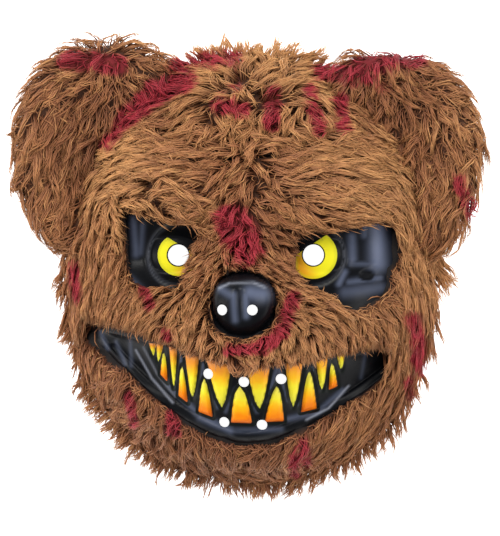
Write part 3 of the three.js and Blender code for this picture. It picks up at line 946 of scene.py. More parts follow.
def tooth_fields(points):
    """For points of the mouth: depth in the nearest tooth, and how far along it from its root."""
    depth = np.full(len(points), -1e9)
    way = np.zeros(len(points))
    upper = np.zeros(len(points))
    for table, is_upper in ((UPPER_TEETH, 1.0), (LOWER_TEETH, 0.0)):
        for tooth in table:
            here = polygon_depth(points, tooth_outline(tooth))
            root = (np.array(seen_point(tooth[0])) + np.array(seen_point(tooth[1]))) / 2
            along = np.array(seen_point(tooth[2])) - root
            share = (points - root) @ along / (along @ along)
            nearer = here > depth
            depth = np.where(nearer, here, depth)
            way = np.where(nearer, share, way)
            upper = np.where(nearer, is_upper, upper)
    return depth, way, upper


def lip_distance(points):
    steps = np.linspace(-LIP_ACROSS, LIP_ACROSS, 30)
    line = [mouth_point(across, LIP_UP) for across in steps]
    nearest = np.full(len(points), 1e9)
    for start, end in zip(line, line[1:]):
        nearest = np.minimum(nearest, capsule_distance(points, start, end))
    return nearest


def painted_light(points, table):
    """The strength of the painted light at points: the strongest of the strokes over each."""
    strength = np.zeros(len(points))
    for start, end, half, most in table:
        away = capsule_distance(points, seen_point(start), seen_point(end))
        strength = np.maximum(strength, most * np.exp(-((away / half) ** 2)))
    return strength


def outer_heights(x, y, teeth):
    """Height of the outer surface with everything that is moulded in it."""
    points = np.stack([x, y], axis=1)
    height = face_height(x, y)
    depth, way, _ = teeth
    height = height + 1.9 * smooth_step(0, 1.6, depth) * (1.1 - 0.4 * clamp_unit(way))
    height = height - 0.7 * np.exp(-((depth / 0.7) ** 2))
    lip = lip_distance(points)
    height = np.maximum(height, height + 2.6 * np.sqrt(clamp_unit(1 - (lip / LIP_RADIUS) ** 2)))
    for start, end, half, strength in SHEEN:
        away = capsule_distance(points, seen_point(start), seen_point(end))
        height = height + 0.9 * strength * np.exp(-((away / (half * 1.1)) ** 2))
    for start, end, strength in FOLD_LINES:
        away = capsule_distance(points, seen_point(start), seen_point(end))
        height = height + 1.2 * strength * np.exp(-((away / 0.8) ** 2))
    dimple = np.hypot((points[:, 0] - 60.6) / 5.2, (points[:, 1] + 0.8) / 3.4)
    height = height - 2.0 * clamp_unit(1 - dimple**2)
    for side in (-1, 1):
        away = np.hypot(x - side * EYE_SPACING / 2, y - EYE_HEIGHT)
        height = height + 0.7 * np.exp(-(((away - 17.0) / 1.1) ** 2))
        height = height - 0.8 * np.exp(-(((away - 15.2) / 1.0) ** 2))
    height = smooth_top(height, eyeball_heights(x, y, 0.0), 0.4)
    return smooth_top(height, nose_heights(x, y, 0.0), 0.3)


def shell_grid():
    """A square grid, finer where the face shows through the plush."""
    grid = bmesh.new()
    bmesh.ops.create_grid(grid, x_segments=SHELL_COLUMNS, y_segments=SHELL_ROWS, size=1.0)
    centres = np.array([face.calc_center_median()[:2] for face in grid.faces])
    bearing, way = disc_bearing_and_way(centres)
    shown = window_depth(face_points(bearing, way)[:, :2]) > -WINDOW_MARGIN
    edges = {edge for face, chosen in zip(grid.faces, shown) if chosen for edge in face.edges}
    bmesh.ops.subdivide_edges(grid, edges=list(edges), cuts=FINE_CUTS, use_grid_fill=True)
    mesh = bpy.data.meshes.new("plastic_face")
    grid.to_mesh(mesh)
    grid.free()
    return mesh


def punches():
    """One mesh of the round cutters for all the holes."""
    cutters = bmesh.new()

    def punch(x, y, radius, sides):
        place = Vector(row_coordinates(np.array([x, y, 60.0])))
        bmesh.ops.create_cone(
            cutters,
            cap_ends=True,
            segments=sides,
            radius1=radius * MM,
            radius2=radius * MM,
            depth=130 * MM,
            matrix=Matrix.Translation(place),
        )

    for side in (-1, 1):
        punch(side * EYE_SPACING / 2, EYE_HEIGHT, EYE_HOLE_RADIUS, 48)
        punch(NOSE_SHIFT + side * NOSTRIL_SPACING / 2, -NOSTRIL_DROP, SMALL_HOLE_RADIUS, 32)
        place = Vector(row_coordinates(np.array([side * HALF_WIDTH, STRAP_HOLE_HEIGHT, STRAP_HOLE_LIFT])))
        bmesh.ops.create_cone(
            cutters,
            cap_ends=True,
            segments=24,
            radius1=STRAP_HOLE_RADIUS * MM,
            radius2=STRAP_HOLE_RADIUS * MM,
            depth=30 * MM,
            matrix=Matrix.Translation(place) @ Matrix.Rotation(math.pi / 2, 4, "Y"),
        )
    for across, up in BREATH_HOLES:
        x, y = mouth_point(across, up)
        punch(float(x), float(y), SMALL_HOLE_RADIUS, 32)
    mesh = bpy.data.meshes.new("punches")
    cutters.to_mesh(mesh)
    cutters.free()
    return new_object("punches", mesh)


def hole_distance(points):
    """How far points lie outside the nearest hole's edge."""
    holes = [(side * EYE_SPACING / 2, EYE_HEIGHT, EYE_HOLE_RADIUS) for side in (-1, 1)]
    nostrils = [NOSE_SHIFT + side * NOSTRIL_SPACING / 2 for side in (-1, 1)]
    holes += [(x, -NOSTRIL_DROP, SMALL_HOLE_RADIUS) for x in nostrils]
    holes += [(*mouth_point(across, up), SMALL_HOLE_RADIUS) for across, up in BREATH_HOLES]
    nearest = np.full(len(points), 1e9)
    for x, y, radius in holes:
        nearest = np.minimum(nearest, np.hypot(points[:, 0] - x, points[:, 1] - y) - radius)
    return nearest


def make_shell(settings):
    mesh = shell_grid()
    square = np.empty(len(mesh.vertices) * 3)
    mesh.vertices.foreach_get("co", square)
    bearing, way = disc_bearing_and_way(square.reshape(-1, 3))
    points = face_points(bearing, way)
    teeth = tooth_fields(points[:, :2])
    outer = points.copy()
    inside = way < 0.999
    heights = outer_heights(points[:, 0], points[:, 1], teeth)
    outer[inside, 2] = heights[inside]
    set_coordinates(mesh, outer)

    made = new_object("plastic_face", mesh)
    wall = made.modifiers.new("wall", "SOLIDIFY")
    wall.thickness = settings.wall
    wall.offset = -1
    mesh = with_modifiers_applied(made)
    both = face_coordinates(mesh)
    count = len(points)
    inner = points - face_normals(bearing, way) * settings.wall / MM
    inner[:, 2] = np.maximum(inner[:, 2], eyeball_heights(inner[:, 0], inner[:, 1], -SHELL_WALL))
    inner[:, 2] = np.maximum(inner[:, 2], nose_heights(inner[:, 0], inner[:, 1], -SHELL_WALL))
    inner[way >= 0.999, 2] = 0
    both[:count] = outer
    both[count:] = inner
    set_coordinates(mesh, both)

    cutters = punches()
    cut = made.modifiers.new("holes", "BOOLEAN")
    cut.operation = "DIFFERENCE"
    cut.solver = "MANIFOLD"
    cut.object = cutters
    mesh = with_modifiers_applied(made)
    remove_object(cutters)

    points = face_coordinates(mesh)
    flat = points[:, :2]
    front = to_front(points)
    depth, tooth_way, upper = tooth_fields(flat)
    surface = face_height(flat[:, 0], flat[:, 1])
    write_attribute(mesh, "outside", smooth_step(-0.9, -0.3, points[:, 2] - surface))
    write_attribute(mesh, "tooth_depth", depth)
    write_attribute(mesh, "tooth_way", tooth_way)
    write_attribute(mesh, "tooth_upper", upper)
    write_attribute(mesh, "painted_light", painted_light(flat, SHEEN))
    # Painted highlights: thin light lines along the folds and round the eyes
    thin = [(start, end, 0.6, strength) for start, end, strength in FOLD_LINES]
    write_attribute(mesh, "fold_light", np.maximum(painted_light(flat, thin), ring_light(flat)))
    write_attribute(mesh, "hole_distance", hole_distance(flat))
    write_iris(mesh, flat)
    mesh.shade_smooth()
    mesh.materials.append(shell_material(settings))
    return made


# The irises: how far each reaches from its eye's middle, and the slanted lid that cuts it
IRIS_RADIUS = {-1: 10.6, 1: 12.0}
LID_SLOPE = {-1: -31.6, 1: 33.7}
LID_LIFT = 4.9
IRIS_INNER_EDGE = 9.0
# The painted highlight round each eye: its radius and strength
RING_RADIUS = 15.6
RING_LIGHT = 0.2


def ring_light(flat):
    """The painted highlight round the outer side of each eye: a thin light line."""
    light = np.zeros(len(flat))
    for side in (-1, 1):
        away = flat - np.array([side * EYE_SPACING / 2, EYE_HEIGHT])
        radius = np.hypot(away[:, 0], away[:, 1])
        line = RING_LIGHT * np.exp(-(((radius - RING_RADIUS) / 0.9) ** 2))
        light = np.maximum(light, line * smooth_step(-2.0, 5.0, away[:, 0] * side))
    return light


def write_iris(mesh, flat):
    depth = np.full(len(flat), -9.0)
    warm = np.zeros(len(flat))
    for side in (-1, 1):
        away = flat - np.array([side * EYE_SPACING / 2, EYE_HEIGHT])
        radius = np.hypot(away[:, 0], away[:, 1])
        slope = math.radians(LID_SLOPE[side])
        under_lid = LID_LIFT - (away[:, 1] * math.cos(slope) - away[:, 0] * math.sin(slope))
        here = np.minimum(IRIS_RADIUS[side] - radius, under_lid)
        here = np.minimum(here, IRIS_INNER_EDGE + away[:, 0] * side)
        near = radius < EYEBALL_RADIUS + 3
        depth = np.where(near, here, depth)
        warm = np.where(near, smooth_step(2, -9, away[:, 0] * side + away[:, 1] * 0.4), warm)
    write_attribute(mesh, "iris_depth", depth)
    write_attribute(mesh, "iris_warmth", warm)


def shell_material(settings):
    graph = Graph("shell_plastic")
    grain = graph.noise(900.0, 2.0)
    cloud = graph.noise(60.0, 3.0)
    outside = graph.attribute("outside")
    black = graph.mix(cloud, settings.black, [channel * 1.7 for channel in settings.black])
    # Painted reflections: grey strokes over the black plastic
    light = (graph.attribute("painted_light") * (0.7 + 0.6 * cloud)).unit() * outside
    body = graph.mix(light, black, settings.sheen)
    # Painted highlight along the folds and round the eyes, in light grey
    body = graph.mix(graph.attribute("fold_light") * outside, body, display_colour(165, 170, 185))

    way = graph.attribute("tooth_way") + (graph.noise(240.0, 2.0) - 0.5) * 0.22
    lower_tooth = graph.ramp(
        way,
        [
            (0.0, display_colour(214, 100, 14)),
            (0.2, display_colour(230, 128, 8)),
            (0.42, display_colour(240, 172, 16)),
            (0.62, settings.tooth),
            (1.0, display_colour(214, 206, 92)),
        ],
    )
    upper_tooth = graph.ramp(
        way,
        [
            (0.0, display_colour(214, 138, 84)),
            (0.16, display_colour(226, 142, 40)),
            (0.36, display_colour(236, 176, 26)),
            (0.56, settings.tooth),
            (1.0, display_colour(206, 206, 60)),
        ],
    )
    tooth = graph.mix(graph.attribute("tooth_upper").step(0.4, 0.6), lower_tooth, upper_tooth)
    depth = graph.attribute("tooth_depth")
    edge_dark = depth.step(-1.9, -1.1) * outside
    body = graph.mix(edge_dark, body, display_colour(16, 20, 18))
    paint_tooth = depth.step(-0.05, 0.3) * outside
    body = graph.mix(paint_tooth, body, tooth)

    iris_depth = graph.attribute("iris_depth")
    hole = graph.attribute("hole_distance")
    iris = graph.mix(graph.attribute("iris_warmth") * 0.85, settings.iris, display_colour(206, 130, 30))
    iris = graph.mix(iris_depth.step(2.2, 0.4) * 0.5, iris, display_colour(176, 178, 30))
    ring = iris_depth.step(-0.05, 0.25) * hole.step(0.45, 0.75) * outside
    body = graph.mix(ring, body, iris)

    colour_mask = (paint_tooth + ring).unit()
    return graph.finish(
        {
            "Base Color": body,
            "Roughness": 0.24 + 0.14 * grain + 0.1 * colour_mask + (1 - outside) * 0.2,
            "IOR": 1.3,
            "Specular IOR Level": 0.2,
            "Normal": graph.bump(graph.noise(420.0, 3.0), 0.12, 0.0003),
        }
    )


# The pile

PILE_KNOTS = (0.0, 0.32, 0.66, 1.0)
GUIDE_STEPS = 10
FLARE_RINGS = 5
PILE_DEPTH = 6.0
EDGE_SHARE = 0.2
EDGE_TAPER = 7.0
EDGE_BLEND = 2.0
EDGE_SHADE = 2.4
SUNK = 2.4
LEAST_HEIGHT = 1.0
EDGE_UNDERCOAT = 0.35
UNDERCOAT_LENGTH = 0.42
UNDERCOAT_TURN = 0.9
PARTING_LIFT = 5.0
DENSE_EDGE = 3.5

# The pile reaches further out over the rim towards some bearings: each in degrees, and how much further
RIM_FULLNESS = ((150, 2.0), (186, 2.5), (-16, 4.0))


def surface_tree(offset, flare):
    """The face's dome moved out by an offset, with a skirt that flares out over the ground."""
    spokes = 120
    ways = list(np.linspace(0.02, 0.9, 34)) + ([] if flare else [0.94, 0.97, 1.0])
    bearing = np.linspace(0, 2 * math.pi, spokes, endpoint=False)
    loops = []
    for way in ways:
        place = np.full(spokes, way)
        loops.append(face_points(bearing, place) + face_normals(bearing, place) * offset)
    if flare:
        last = loops[-1]
        out = face_normals(bearing, np.full(spokes, 1.0))
        for step in range(1, FLARE_RINGS + 1):
            share = step / FLARE_RINGS
            ring = last + out * flare * share**0.8
            ring[:, 2] = last[:, 2] * (1 - share) ** 1.3 + 2.0 * share
            loops.append(ring)
    points = np.concatenate(loops)
    faces = []
    for loop in range(len(loops) - 1):
        for i in range(spokes):
            j = (i + 1) % spokes
            faces.append((loop * spokes + i, loop * spokes + j, (loop + 1) * spokes + j, (loop + 1) * spokes + i))
    faces = [face[::-1] for face in faces]
    faces.append(tuple(range(spokes)))
    return BVHTree.FromPolygons([Vector(p) for p in points], faces)


def tree_of_mesh(points, triangles):
    return BVHTree.FromPolygons([Vector(p) for p in points], [tuple(t) for t in triangles.tolist()])


def soft_body(node, voxel):
    """A rounded copy of a plush solid."""
    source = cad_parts[node]
    mesh = source.data.copy()
    mesh.materials.clear()
    work = bmesh.new()
    work.from_mesh(mesh)
    bmesh.ops.remove_doubles(work, verts=work.verts, dist=1e-6)
    work.to_mesh(mesh)
    work.free()
    made = new_object(node + "_pile", mesh)
    remesh = made.modifiers.new("even", "REMESH")
    remesh.mode = "VOXEL"
    remesh.voxel_size = voxel * MM
    soften = made.modifiers.new("soften", "SMOOTH")
    soften.factor = 0.5
    soften.iterations = 3
    with_modifiers_applied(made)
    return made


def press_to_face(points, face_tree, share):
    """Points over the face brought nearer to it, drawn up to the leaning nose, and sunk in the face where the
    pile leaves it bare."""
    points = points.copy()
    from_nose = np.hypot(points[:, 0] - NOSE_SHIFT, points[:, 1] + NOSE_DROP)
    points[:, 0] += NOSE_LEAN * smooth_step(NOSE_WIDTH * 0.8, NOSE_WIDTH * 0.55, from_nose)
    outside = -opening_depth(points)
    shares = share * (EDGE_SHARE + (1 - EDGE_SHARE) * smooth_step(0.0, EDGE_TAPER, outside))
    shown = smooth_step(-EDGE_BLEND, EDGE_BLEND, outside)
    for i, point in enumerate(points):
        place, normal, _, _ = face_tree.find_nearest(Vector(point))
        place = np.array(place)
        over = place + (point - place) * shares[i]
        points[i] = over * shown[i] + (place - np.array(normal) * SUNK) * (1 - shown[i])
    return points


def spread_points(points, triangles, spacing, random, keep):
    """Points spread evenly over a mesh, one to each cube of the spacing, with their normals."""
    corners = points[triangles]
    crosses = np.cross(corners[:, 1] - corners[:, 0], corners[:, 2] - corners[:, 0])
    areas = np.linalg.norm(crosses, axis=1) / 2
    normals = unit_rows(crosses)
    chosen_faces = keep(corners.mean(axis=1), normals)
    weights = areas * chosen_faces
    count = int(weights.sum() / spacing**2 * 6)
    picks = random.choice(len(triangles), size=count, p=weights / weights.sum())
    a = random.random((count, 1))
    b = random.random((count, 1))
    over = (a + b) > 1
    a = np.where(over, 1 - a, a)
    b = np.where(over, 1 - b, b)
    places = corners[picks, 0] + a * (corners[picks, 1] - corners[picks, 0])
    places = places + b * (corners[picks, 2] - corners[picks, 0])
    cells = np.floor(places / spacing).astype(np.int64)
    keys = cells @ np.array([1, 4001, 16008001])
    _, first = np.unique(keys, return_index=True)
    first = random.permutation(first)
    return places[first], normals[picks[first]]


def lie_at(places, table, random):
    """The pile's heading, how well the rows agree on it, its length, mess and paleness at places in the
    front view, from the nearest rows. Where the rows disagree, each place takes after one of them."""
    rows = np.array(table, float)
    away = places[:, None, :] - rows[None, :, :2]
    weights = 1 / ((away**2).sum(axis=2) + 30.0) ** 2
    weights = weights / weights.sum(axis=1, keepdims=True)
    angles = np.radians(rows[:, 2])
    directions = np.stack([np.cos(angles), np.sin(angles)], axis=1)
    heading = weights @ directions
    agreement = np.linalg.norm(heading, axis=1)
    share = agreement[:, None] ** 2
    picked = (weights.cumsum(axis=1) > random.random((len(places), 1))).argmax(axis=1)
    heading = unit_rows(unit_rows(heading) * share + directions[picked] * (1 - share))
    # The last column, paleness, is painted highlight and painted shade by region
    return heading, agreement, weights @ rows[:, 3], weights @ rows[:, 4], weights @ rows[:, 5]


def turned(vector, axis, angle):
    """A vector turned about a unit axis that is square to it."""
    return vector * math.cos(angle) + np.cross(axis, vector) * math.sin(angle)


def comb_guides(roots, tree, table, random, style):
    """Paths of the locks: each runs over the combed surface from its root, with a wave."""
    front = to_front(roots)
    headings, agreements, lengths, messes, painted_light_tones = lie_at(front, table, random)
    paths = np.zeros((len(roots), GUIDE_STEPS + 1, 3))
    normals = np.zeros((len(roots), GUIDE_STEPS + 1, 3))
    for i, root in enumerate(roots):
        swirl = noise.noise_vector(Vector(root) / 16.0)
        drift = noise.noise_vector(Vector(root) / 5.0 + Vector((40.0, 7.0, 3.0)))
        angle = messes[i] * (2.6 * swirl.x + 1.6 * drift.x) + random.normal(0, 0.16)
        heading = np.array([*headings[i], 0.0])
        heading = turned(heading, np.array([0.0, 0.0, 1.0]), angle)
        length = lengths[i] * style["length"] * random.uniform(0.8, 1.15)
        step = length / GUIDE_STEPS
        wave = random.uniform(0.25, 0.7) * style["wave"]
        phase = random.uniform(0, 2 * math.pi)
        per_step = 2 * math.pi * step / random.uniform(11.0, 17.0)
        lift = max(0.0, random.normal(1.6, 1.4)) * style["lift"] + PARTING_LIFT * (1 - agreements[i])
        place, normal, _, _ = tree.find_nearest(Vector(root))
        place = np.array(place)
        up = np.array(normal)
        flare = style["edge_flare"] * (1 - abs(up[2]))
        depth = float((root - place) @ up)
        reach = random.normal(*style["reach"])
        if style["reach"][0] < 90:
            bearing = math.atan2(place[1], place[0])
            for towards, most in RIM_FULLNESS:
                reach += most * max(0.0, math.cos(bearing - math.radians(towards))) ** 2
        last = GUIDE_STEPS
        for k in range(GUIDE_STEPS + 1):
            share = k / GUIDE_STEPS
            rise = depth * (1 - share) ** 3 + lift * math.sin(share * 2.2) * (1.2 - 0.4 * share) + flare * share
            paths[i, k] = place + up * rise if k else root
            normals[i, k] = up
            level = heading - up * (heading @ up)
            if up[2] < 0.9 and np.linalg.norm(level) < 0.2:
                level = level + np.array([0.0, 0.0, -0.3])
            level = level / max(np.linalg.norm(level), 1e-6)
            move = turned(level, up, wave * math.sin(phase + per_step * k))
            ahead, normal, _, _ = tree.find_nearest(Vector(place + move * step))
            place = np.array(ahead)
            up = up * 0.4 + np.array(normal) * 0.6
            up = up / np.linalg.norm(up)
            share = float(rim_share(place[0], place[1]))
            if (1 - 1 / max(share, 1e-6)) * math.hypot(place[0], place[1]) > reach and k > 1:
                last = k
                break
        if last < GUIDE_STEPS:
            at = np.linspace(0, last, GUIDE_STEPS + 1)
            low = np.minimum(at.astype(int), last - 1)
            part = (at - low)[:, None]
            paths[i] = paths[i, low] * (1 - part) + paths[i, low + 1] * part
            normals[i] = unit_rows(normals[i, low] * (1 - part) + normals[i, low + 1] * part)
    return paths, normals, lengths, painted_light_tones


def strands_along(guides, guide_normals, roots, root_normals, random, style):
    """Strands from roots, each led by its nearest guide and gathered to it at the tip."""
    lookup = KDTree(len(guides))
    for i, path in enumerate(guides):
        lookup.insert(Vector(path[0]), i)
    lookup.balance()
    led_by = np.array([lookup.find(Vector(root))[1] for root in roots])
    knots = np.array(PILE_KNOTS)
    near_edge = opening_depth(roots) > -DENSE_EDGE
    under = random.random(len(roots)) < style["undercoat"] + EDGE_UNDERCOAT * near_edge
    reach = random.uniform(0.72, 1.12, len(roots)) * np.where(under, UNDERCOAT_LENGTH, 1.0)
    at = np.clip(knots[None, :] * reach[:, None], 0, 1) * GUIDE_STEPS
    low = np.minimum(at.astype(int), GUIDE_STEPS - 1)
    part = (at - low)[..., None]
    rows = led_by[:, None]
    paths = guides[rows, low] * (1 - part) + guides[rows, low + 1] * part
    ups = unit_rows(guide_normals[rows, low])
    offset = roots - guides[led_by, 0]
    gather = style["gather"] * random.uniform(0.6, 1.2, (len(roots), 1)) * knots[None, :] ** 0.9
    paths = paths + offset[:, None, :] * (1 - np.minimum(gather, 0.95))[..., None]
    along = unit_rows(paths[:, -1] - paths[:, 0])
    sideways = np.cross(along[:, None, :], ups)
    stray = random.normal(0, style["stray"], (len(roots), 1, 1)) * (knots[None, :, None] ** 1.6)
    curl = random.normal(0, 0.35, (len(roots), len(knots), 1)) * knots[None, :, None]
    paths = paths + sideways * (stray + curl)
    rise = random.normal(0.4, style["stray"] * 0.5, (len(roots), 1, 1)) * (knots[None, :, None] ** 1.3)
    paths = paths + ups * rise
    turns = random.normal(0, UNDERCOAT_TURN, len(roots))[under, None, None]
    own = paths[under] - roots[under, None, :]
    axes = np.broadcast_to(root_normals[under, None, :], own.shape)
    upright = (own * axes).sum(axis=2, keepdims=True) * axes
    paths[under] = upright + (own - upright) * np.cos(turns) + np.cross(axes, own) * np.sin(turns)
    paths[under] += roots[under, None, :]
    paths[:, 0] = roots - root_normals * 0.8
    paths[..., 2] = np.maximum(paths[..., 2], LEAST_HEIGHT)
    # How near its lock's middle each strand's root stands, which the material turns into painted highlight on the
    # lock's crest
    crest = np.linalg.norm(offset, axis=1)
    return paths, ups, led_by, clamp_unit(1.25 - crest / crest.mean() * 0.75)


def trim_at_windows(paths, random):
    """Strands cut short where they would hang too far over a cut-out."""
    count, knots, _ = paths.shape
    depth = opening_depth(paths.reshape(-1, 3)).reshape(count, knots)
    allowed = random.normal(-0.4, 0.7, count) + 3.5 * (random.random(count) > 0.975)
    over = depth > allowed[:, None]
    over[:, 0] = False
    first = np.where(over.any(axis=1), over.argmax(axis=1), knots)
    before = np.minimum(first, knots - 1) - 1
    index = np.arange(count)
    d0 = depth[index, before]
    d1 = depth[index, np.minimum(first, knots - 1)]
    part = clamp_unit((allowed - d0) / np.maximum(d1 - d0, 1e-6))
    limit = np.where(first < knots, (before + part) / (knots - 1), 1.0)
    limit = np.clip(limit, 0.12, 1.0)
    at = np.linspace(0, 1, knots)[None, :] * limit[:, None] * (knots - 1)
    low = np.minimum(at.astype(int), knots - 2)
    share = (at - low)[..., None]
    rows = index[:, None]
    return paths[rows, low] * (1 - share) + paths[rows, low + 1] * share, limit


def strand_triangles(count, knots):
    """The faces of closed three-sided strands, each with a point at its tip."""
    faces = [(0, 1, 2)]
    for k in range(knots - 2):
        ring = 3 * k
        for i in range(3):
            j = (i + 1) % 3
            faces.append((ring + i, ring + 3 + i, ring + 3 + j))
            faces.append((ring + i, ring + 3 + j, ring + j))
    last = 3 * (knots - 2)
    tip = last + 3
    for i in range(3):
        faces.append((last + i, tip, last + (i + 1) % 3))
    per = tip + 1
    return (np.array(faces)[None] + (np.arange(count) * per)[:, None, None]).reshape(-1, 3)


def strand_points(paths, ups, widths):
    count, knots, _ = paths.shape
    tangents = np.empty_like(paths)
    tangents[:, 1:-1] = paths[:, 2:] - paths[:, :-2]
    tangents[:, 0] = paths[:, 1] - paths[:, 0]
    tangents[:, -1] = paths[:, -1] - paths[:, -2]
    tangents = unit_rows(tangents)
    sides = unit_rows(np.cross(tangents, ups))
    tops = np.cross(sides, tangents)
    taper = np.array([0.85, 1.0, 0.72])[None, :, None] * widths[:, None, None]
    rings = paths[:, :-1]
    left = rings - sides[:, :-1] * taper / 2
    right = rings + sides[:, :-1] * taper / 2
    top = rings + tops[:, :-1] * taper * 0.55
    body = np.stack([left, right, top], axis=2).reshape(count, -1, 3)
    return np.concatenate([body, paths[:, -1:]], axis=1)


def stain_at(places):
    """How strongly places in the front view are stained."""
    strength = np.zeros(len(places))
    for start, end, radius, most in STAINS:
        away = capsule_distance(places, start, end)
        strength = np.maximum(strength, most * smooth_step(radius * 1.7, radius * 0.2, away))
    return strength


def pile_mesh(name, body_points, body_triangles, strands, fields):
    """One mesh of a soft body and its strands, with what the material reads of each."""
    paths, ups, widths = strands
    points = strand_points(paths, ups, widths)
    count, per, _ = points.shape
    faces = strand_triangles(count, paths.shape[1])
    start = len(body_points)
    all_points = np.concatenate([body_points, points.reshape(-1, 3)])
    mesh = mesh_of_triangles(name, all_points, np.concatenate([body_triangles, faces + start]))
    along = np.repeat(np.array(PILE_KNOTS), [3] * (per // 3) + [1])[None, :].repeat(count, axis=0)
    reach = fields["limit"][:, None] * along
    front = to_front(all_points)
    stained = stain_at(front)
    write_attribute(mesh, "along", np.concatenate([np.full(start, -1.0), reach.ravel()]))
    write_attribute(mesh, "strand", np.concatenate([np.full(start, 0.3), fields["strand"].repeat(per)]))
    # Paleness by region, for painted highlight and painted shade
    write_attribute(mesh, "pale", np.concatenate([np.full(start, 0.3), fields["pale"].repeat(per)]))
    write_attribute(mesh, "stain", stained)
    # Painted shade on the body along the pile's cut edges, where it meets the bare plastic
    edge = smooth_step(EDGE_SHADE, 0.0, -opening_depth(body_points))
    write_attribute(mesh, "edge", np.concatenate([edge, np.zeros(count * per)]))
    mesh.shade_smooth()
    return mesh


def grow_pile(made, tree, table, settings, random, style, keep):
    """Covers a soft body with combed strands."""
    mesh = made.data
    points = face_coordinates(mesh)
    triangles = triangles_of(mesh)
    guide_roots, _ = spread_points(points, triangles, settings.lock_spacing / MM, random, keep)
    guides, guide_normals, _, painted_light_tones = comb_guides(guide_roots, tree, table, random, style)
    roots, root_normals = spread_points(points, triangles, settings.strand_spacing / MM, random, keep)
    edge_first = np.argsort(opening_depth(roots) < -DENSE_EDGE, kind="stable")[: style["most"]]
    roots = roots[edge_first]
    root_normals = root_normals[edge_first]
    paths, ups, led_by, crest = strands_along(guides, guide_normals, roots, root_normals, random, style)
    if style["trim"]:
        paths, limit = trim_at_windows(paths, random)
    else:
        limit = np.ones(len(roots))
    lock_tone = random.random(len(guides))
    # Each strand's tone: random by lock and by strand, and its lock's crest for painted highlight
    strand = 0.35 * lock_tone[led_by] + 0.25 * random.random(len(roots)) + 0.4 * crest
    widths = settings.strand_width / MM * random.uniform(0.7, 1.3, len(roots)) * np.sqrt(np.maximum(limit, 0.3))
    fields = {"limit": limit, "strand": strand, "pale": painted_light_tones[led_by]}
    full = pile_mesh(made.name, points, triangles, (paths, ups, widths), fields)
    made.data = full
    bpy.data.meshes.remove(mesh)


def pile_material(name, settings):
    graph = Graph(name)
    along = graph.attribute("along")
    strand = graph.attribute("strand")
    pale = graph.attribute("pale")
    stain = graph.attribute("stain")
    fine = graph.noise(1400.0, 2.0)
    cloud = graph.noise(70.0, 3.0)
    colour = graph.ramp(
        along,
        [(0.0, settings.root), (0.3, settings.shade), (0.62, settings.main), (1.0, settings.tip)],
    )
    # Painted highlight on crest strands towards the tips, and painted shade on the darker strands at the locks'
    # edges
    colour = graph.mix((strand.step(0.55, 1.0) * 0.75 * along.step(0.1, 0.7)), colour, settings.highlight)
    colour = graph.mix(strand.step(0.42, 0.0) * 0.45, colour, settings.shade)
    # Painted highlight and painted shade by region, from the pale value
    colour = graph.mix(((pale - 0.45) * 1.8).unit() * along, colour, settings.highlight)
    colour = graph.mix(((0.45 - pale) * 3.0).unit() * 0.55, colour, settings.root)
    # The body between the roots: the backing's colour, dark as painted shade
    colour = graph.mix(along.step(-0.2, -0.6), colour, settings.shaded_backing)
    colour = graph.mix((cloud.step(0.55, 0.75)) * 0.25, colour, settings.shade)
    blood = graph.mix(along.step(0.1, 0.9), settings.stain_deep, settings.stain)
    # Painted highlight on stained strands at the locks' crests
    blood = graph.mix(strand.step(0.5, 1.0) * 0.35, blood, settings.stain_light)
    blot = graph.noise(160.0, 3.0)
    patchy = stain * (0.6 + 0.6 * strand) + (cloud - 0.5) * 0.7 + (blot - 0.5) * 0.7
    patchy = patchy.step(0.26, 0.7) * (along.step(-0.2, 0.35) + along.step(-0.2, -0.6) * 0.8).unit()
    colour = graph.mix(patchy, colour, blood)
    # Painted shade: near-black on the body along the cut edges
    colour = graph.mix(graph.attribute("edge"), colour, display_colour(20, 15, 14))
    return graph.finish(
        {
            "Base Color": colour,
            "Roughness": 0.5 + 0.2 * fine + 0.3 * along.step(-0.2, -0.6),
            "Specular IOR Level": 0.35,
            "Normal": graph.bump(fine, 0.3, 0.0002),
        }
    )


def make_head_pile(settings):
    random = np.random.default_rng(SEED)
    face_tree = surface_tree(0.4, 0)
    comb = surface_tree(PILE_DEPTH, 26.0)
    material = pile_material("head_plush", settings)
    style = {
        "length": 1.0,
        "wave": 1.0,
        "lift": 1.0,
        "gather": 0.72,
        "undercoat": 0.16,
        "stray": 0.8,
        "trim": True,
        "edge_flare": 0.0,
        "reach": (14.0, 3.0),
    }
    made_pieces = []
    for node, most in HEAD_PANELS.items():
        style["most"] = most
        made = soft_body(node, 2.2)
        points = press_to_face(face_coordinates(made.data), face_tree, BODY_SHARES[node])
        set_coordinates(made.data, points)

        def keep(centres, normals):
            outwards = np.array([np.array(face_tree.find_nearest(Vector(c))[1]) for c in centres])
            facing = (outwards * normals).sum(axis=1) > -0.15
            return (facing & (opening_depth(centres) < 0.5)).astype(float)

        grow_pile(made, comb, HEAD_LIE, settings, random, style, keep)
        made.data.materials.append(material)
        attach(made, "root")
        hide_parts(node)
        made_pieces.append(made)
    return made_pieces


def make_ears(settings):
    random = np.random.default_rng(SEED + 1)
    material = pile_material("ear_plush", settings)
    style = {
        "length": 1.1,
        "wave": 1.1,
        "lift": 1.3,
        "gather": 0.76,
        "undercoat": 0.26,
        "stray": 0.8,
        "trim": False,
        "edge_flare": 5.0,
        "reach": (99.0, 1.0),
    }
    made_pieces = []
    for node, most in EARS.items():
        style["most"] = most
        made = soft_body(node, 3.2)
        points = face_coordinates(made.data)
        triangles = triangles_of(made.data)
        comb = tree_of_mesh(points, triangles)

        def keep(centres, normals):
            return np.where(normals[:, 2] < -0.5, 0.15, 1.0)

        grow_pile(made, comb, EAR_LIE, settings, random, style, keep)
        made.data.materials.append(material)
        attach(made, "root")
        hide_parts(node)
        made_pieces.append(made)
    return made_pieces


# The stage


